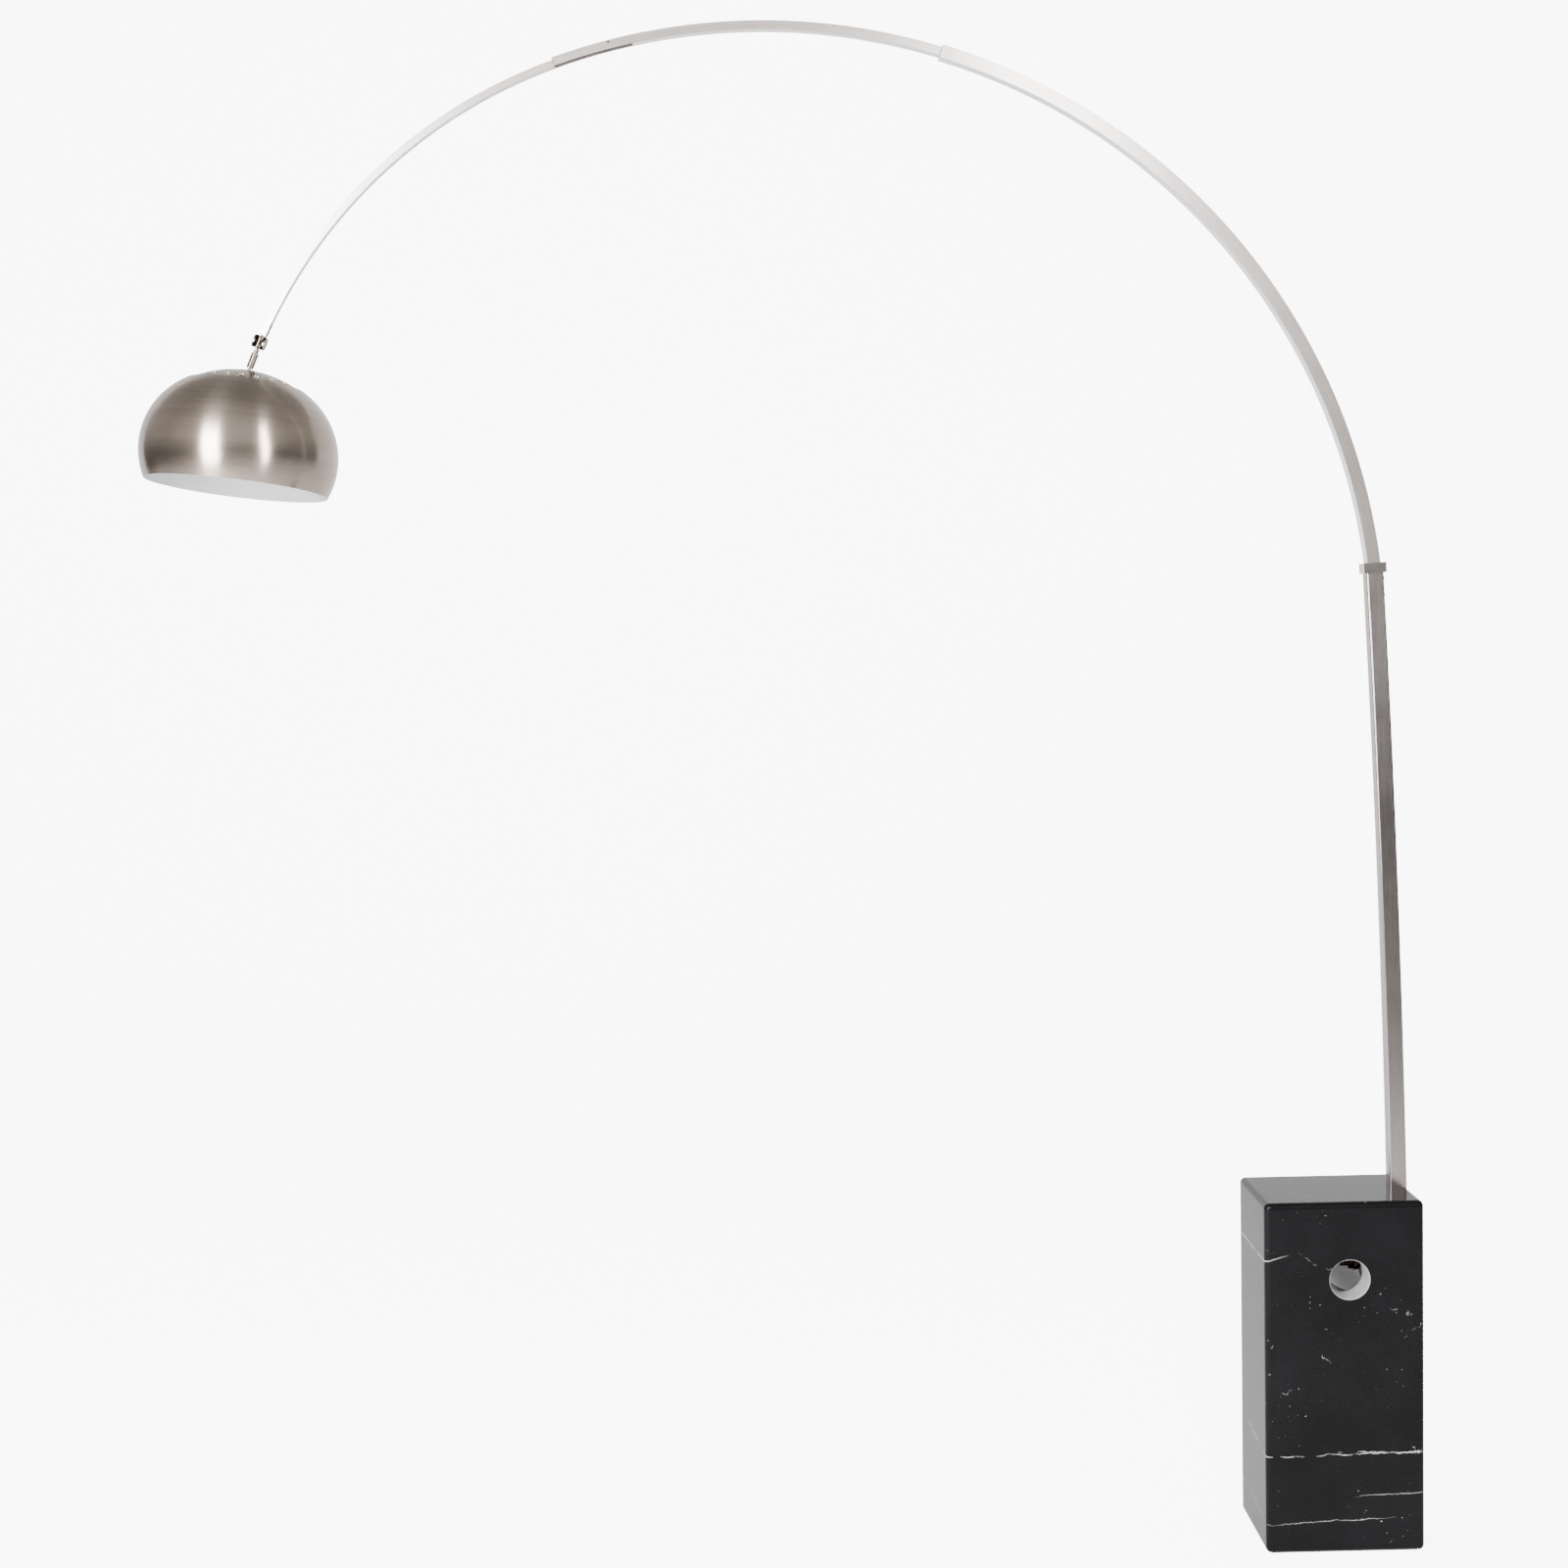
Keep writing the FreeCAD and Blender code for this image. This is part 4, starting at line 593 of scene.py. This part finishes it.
cap_metal = spun("cap_metal", lambda tree: ring_place(tree, shade_frame))
give(cap_metal, "shade_cap")
print("dome inside faces", sum(face.material_index for face in dome.data.polygons))

# %% [markdown]
# ## Bulb and holder
# A frosted bulb scatters light in its skin. A true hollow glass shell is slow and looks grey when
# unlit, so the solid skin gets a milky surface with some transmission. The neck flows into the round
# end in one curve, and the cap's thread is a real helix: its radius waves with height and angle.

# %% Bulb
BALL_TO_HOLDER, HOLDER_TO_BULB = 0.019, 0.0228
HOLDER_TOP = BALL_TO_CENTRE - BALL_TO_HOLDER
BULB_TOP = HOLDER_TOP - HOLDER_TO_BULB
CAP_RADIUS, CAP_LENGTH = 0.013, 0.025
CAP_PITCH, CAP_THREAD_DEPTH = 0.0036, 0.0008
GLASS_RADIUS, BULB_LENGTH = 0.030, 0.104
THREAD_STEPS, ROWS_PER_TURN = 64, 10


def curve(first, pull_first, pull_last, last, steps=24):
    """Points of a Bezier curve in the outline's plane."""
    points = []
    for step in range(steps + 1):
        t = step / steps
        weights = ((1 - t) ** 3, 3 * t * (1 - t) ** 2, 3 * t * t * (1 - t), t ** 3)
        corners = (first, pull_first, pull_last, last)
        points.append(tuple(sum(weight * corner[k] for weight, corner in zip(weights, corners))
                            for k in (0, 1)))
    return points


def thread(name, radius, top, bottom, pitch, depth, crown=()):
    """Closed threaded cylinder about Z; the crown is extra outline points above the thread."""
    rows = int((top - bottom) / pitch * ROWS_PER_TURN)

    def outline_at(angle):
        line = list(crown) or [(0.0, top)]
        for row in range(rows + 1):
            height = top + (bottom - top) * row / rows
            fade = min(1.0, (top - height) / pitch, (height - bottom) / pitch)
            wave = 0.5 - 0.5 * math.cos(2 * math.pi * height / pitch - angle)
            line.append((radius - depth * wave * fade, height))
        return line + [(0.0, bottom)]

    return swept_round(name, outline_at, steps=THREAD_STEPS, closed=False)


def dress(piece, material, body, slot, *replaced):
    """Give a new piece its finish, the body it rides on and the solid it stands for; slot is not used."""
    piece.data.materials.append(material)
    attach(piece, body)
    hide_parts(*replaced)


def bulb_pieces():
    widest = BULB_TOP - BULB_LENGTH + GLASS_RADIUS
    neck = curve((CAP_RADIUS, BULB_TOP - CAP_LENGTH), (CAP_RADIUS, widest + 0.034),
                 (GLASS_RADIUS, widest + 0.026), (GLASS_RADIUS, widest))
    end = arc_points((0.0, widest), GLASS_RADIUS, 0.0, -math.pi / 2, 24)
    glass = turned("bulb_skin", [(0.0, BULB_TOP - CAP_LENGTH)] + neck + end[1:], closed=False)
    contact = [(0.0, BULB_TOP), (0.003, BULB_TOP), (0.0032, BULB_TOP - 0.0014), (0.0095, BULB_TOP - 0.0016)]
    cap = thread("bulb_thread", CAP_RADIUS, BULB_TOP - 0.004, BULB_TOP - CAP_LENGTH + 0.0002,
                 CAP_PITCH, CAP_THREAD_DEPTH, contact)
    glass.matrix_world = cap.matrix_world = shade_frame
    return glass, cap


frosted = plain_finish("frosted_glass", (0.88, 0.88, 0.86), 0.0, 0.4, Transmission_Weight=0.25)
bulb_skin, bulb_thread = bulb_pieces()
dress(bulb_skin, frosted, "shade_head", "bulb_glass", "bulb_glass")
dress(bulb_thread, bulb_metal, "shade_head", "bulb_cap", "bulb_screw_base")
print("bulb faces", len(bulb_skin.data.polygons), "thread faces", len(bulb_thread.data.polygons))

# %% Holder with flutes for the fingers
FLUTES, FLUTE_DEPTH = 24, 0.0005
HOLDER_RADIUS, HOLDER_BORE, HOLDER_LENGTH, BORE_TOP = 0.0195, 0.0165, 0.0480, 0.0150


def holder_outline(angle):
    groove = HOLDER_RADIUS - FLUTE_DEPTH * (0.5 - 0.5 * math.cos(FLUTES * angle))
    shoulder = ((0.005, 0), (0.0095, 0), (0.010, -0.0004), (0.0190, -0.0116), (HOLDER_RADIUS, -0.0128))
    grip = ((HOLDER_RADIUS, -0.0150), (groove, -0.0165), (groove, -0.0440), (HOLDER_RADIUS, -0.0455))
    mouth = ((HOLDER_RADIUS, -0.0476), (0.0191, -HOLDER_LENGTH), (HOLDER_BORE, -HOLDER_LENGTH))
    inside = ((HOLDER_BORE, -BORE_TOP), (0.0018, -BORE_TOP), (0.0018, -0.0060), (0.005, -0.0060))
    shape = shoulder + grip + mouth + inside
    return [(radius, HOLDER_TOP + height) for radius, height in shape]


holder = swept_round("fluted_holder", holder_outline)
holder.matrix_world = shade_frame
dress(holder, bakelite, "shade_head", "holder_plastic", "holder_body")
print("holder faces", len(holder.data.polygons))

# %% [markdown]
# ## Clamp
# The rod that draws the column against the stone is threaded all along, and its nut has the usual
# chamfered corners. A nut's corner is where the hexagon is widest, so the chamfer cuts deepest there.

# %% Rod and nut
NUT_HALF_FLATS, NUT_CHAMFER_RADIUS, NUT_CHAMFER_SLOPE, NUT_STEPS = 0.0075, 0.0074, 0.577, 72
ROD_RADIUS, ROD_PITCH, ROD_THREAD_DEPTH = 0.004, 0.00125, 0.0004


def along_x(piece, node):
    """Lay a piece made about Z along X, centred on a solid's box."""
    low, high = (Vector(corner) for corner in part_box(node))
    piece.matrix_world = Matrix.Translation((low + high) / 2) @ Matrix.Rotation(math.pi / 2, 4, "Y")


def node_length(node):
    low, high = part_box(node)
    return high[0] - low[0]


def nut_outline(angle):
    half = node_length("clamp_nut") / 2
    reach = NUT_HALF_FLATS / math.cos((angle + math.pi / 6) % (math.pi / 3) - math.pi / 6)
    drop = max(reach - NUT_CHAMFER_RADIUS, 0.0) * NUT_CHAMFER_SLOPE
    return [(ROD_RADIUS, half), (NUT_CHAMFER_RADIUS, half), (reach, half - drop),
            (reach, drop - half), (NUT_CHAMFER_RADIUS, -half), (ROD_RADIUS, -half)]


rod_half = node_length("clamp_rod") / 2
rod = thread("threaded_rod", ROD_RADIUS, rod_half, -rod_half, ROD_PITCH, ROD_THREAD_DEPTH)
along_x(rod, "clamp_rod")
dress(rod, dull_bronze, "base", "brass_fittings", "clamp_rod")
nut = swept_round("chamfered_nut", nut_outline, steps=NUT_STEPS)
along_x(nut, "clamp_nut")
dress(nut, dull_bronze, "base", "brass_fittings", "clamp_nut")
print("rod faces", len(rod.data.polygons), "nut faces", len(nut.data.polygons))

# %% [markdown]
# ## Light
# Two tall soft lamps stand either side of the viewpoint. Round metal shows each as an upright streak,
# and flat metal takes its tone from the surroundings, so the world is graded: bright above, a warm
# darker band at eye level and light from the floor below. A third lamp above lights the stone and the
# floor; metal doesn't mirror it, because its edges would show on the round shade.

# %% Lamps and surroundings
def soft_lamp(name, place, target, width, height, power):
    data = bpy.data.lights.new(name, "AREA")
    data.shape = "RECTANGLE"
    data.size, data.size_y = width, height
    data.energy = power
    lamp = link(bpy.data.objects.new(name, data))
    lamp.location = place
    lamp.rotation_euler = (Vector(target) - Vector(place)).to_track_quat("-Z", "Y").to_euler()
    return lamp


DOME_PLACE = shade_frame.translation


def lamp_on_dome(name, azimuth, distance, width, height, power):
    """Tall lamp level with the shade; azimuth is measured from -Y towards +X."""
    turn = math.radians(azimuth)
    place = DOME_PLACE + Vector((distance * math.sin(turn), -distance * math.cos(turn), 0.3))
    soft_lamp(name, place, DOME_PLACE, width, height, power).visible_camera = False


lamp_on_dome("lamp_left", -19, 3.8, 1.2, 3.0, 420)
lamp_on_dome("lamp_right", 42.4, 2.2, 0.26, 1.7, 40)
lamp_top = soft_lamp("lamp_top", (-0.8, -0.5, 5.2), (-0.8, 0, 0), 4.0, 3.0, 90)
lamp_top.visible_glossy = False

# %% [markdown]
# The wide white surroundings are only for the eye of the camera. What the metal mirrors is graded
# by elevation, as in a hall with a dark band at eye level on a pale floor.

# %% Surroundings
BACK_LEVEL = 8.0
GLOW_IN_FRONT, GLOW_BEHIND = 0.2, 0.45
LEVELS_BY_ELEVATION = ((-90, 0.6), (-20, 0.9), (-13, 1.3), (-11, 0.4), (-8, 0.13), (-4, 0.08), (-1, 0.13),
                       (3, 0.4), (9, 0.7), (16, 1.3), (24, 1.2), (40, 0.95), (90, 0.6))
SIDE_SHARE = 0.55


def surroundings():
    world = bpy.data.worlds.new("studio")
    bpy.context.scene.world = world
    world.use_nodes = True
    tree = world.node_tree
    background = tree.nodes["Background"]
    direction = add_node(tree, "ShaderNodeTexCoord").outputs["Generated"]
    axes = separate(tree, direction)
    ramp = add_node(tree, "ShaderNodeValToRGB", None, Fac=maths(tree, "MULTIPLY_ADD", axes[2], 0.5, 0.5))
    while len(ramp.color_ramp.elements) < len(LEVELS_BY_ELEVATION):
        ramp.color_ramp.elements.new(0.5)
    for element, (elevation, level) in zip(ramp.color_ramp.elements, LEVELS_BY_ELEVATION):
        element.position = 0.5 + 0.5 * math.sin(math.radians(elevation))
        element.color = (level, level * 0.965, level * 0.93, 1.0)
    frontal = remap(tree, axes[1], -0.2, -0.85)
    at_the_sides = stretch(tree, ramp.outputs[0], (SIDE_SHARE,) * 3)
    graded = blend_colours(tree, frontal, at_the_sides, ramp.outputs[0])
    seen = add_node(tree, "ShaderNodeLightPath").outputs["Is Camera Ray"]
    tree.links.new(blend_colours(tree, seen, graded, (BACK_LEVEL,) * 3), background.inputs["Color"])
    background.inputs["Strength"].default_value = 1.0


def floor_finish():
    """Pale matt sheet; to the camera it glows as bright as the backdrop, so no horizon shows."""
    material, tree, shader = new_finish("studio_white", (0.80, 0.80, 0.80), 0.0, 0.9)
    shader.inputs["Emission Color"].default_value = (0.97, 0.94, 1.0, 1.0)
    seen = add_node(tree, "ShaderNodeLightPath").outputs["Is Camera Ray"]
    across = separate(tree, object_place(tree))[1]
    low_glow = remap(tree, across, -0.5, 0.5, GLOW_IN_FRONT, GLOW_BEHIND)
    glow = maths(tree, "MULTIPLY_ADD", seen, BACK_LEVEL, low_glow)
    tree.links.new(glow, shader.inputs["Emission Strength"])
    return material


surroundings()
floor.data.materials.append(floor_finish())
print("light done")
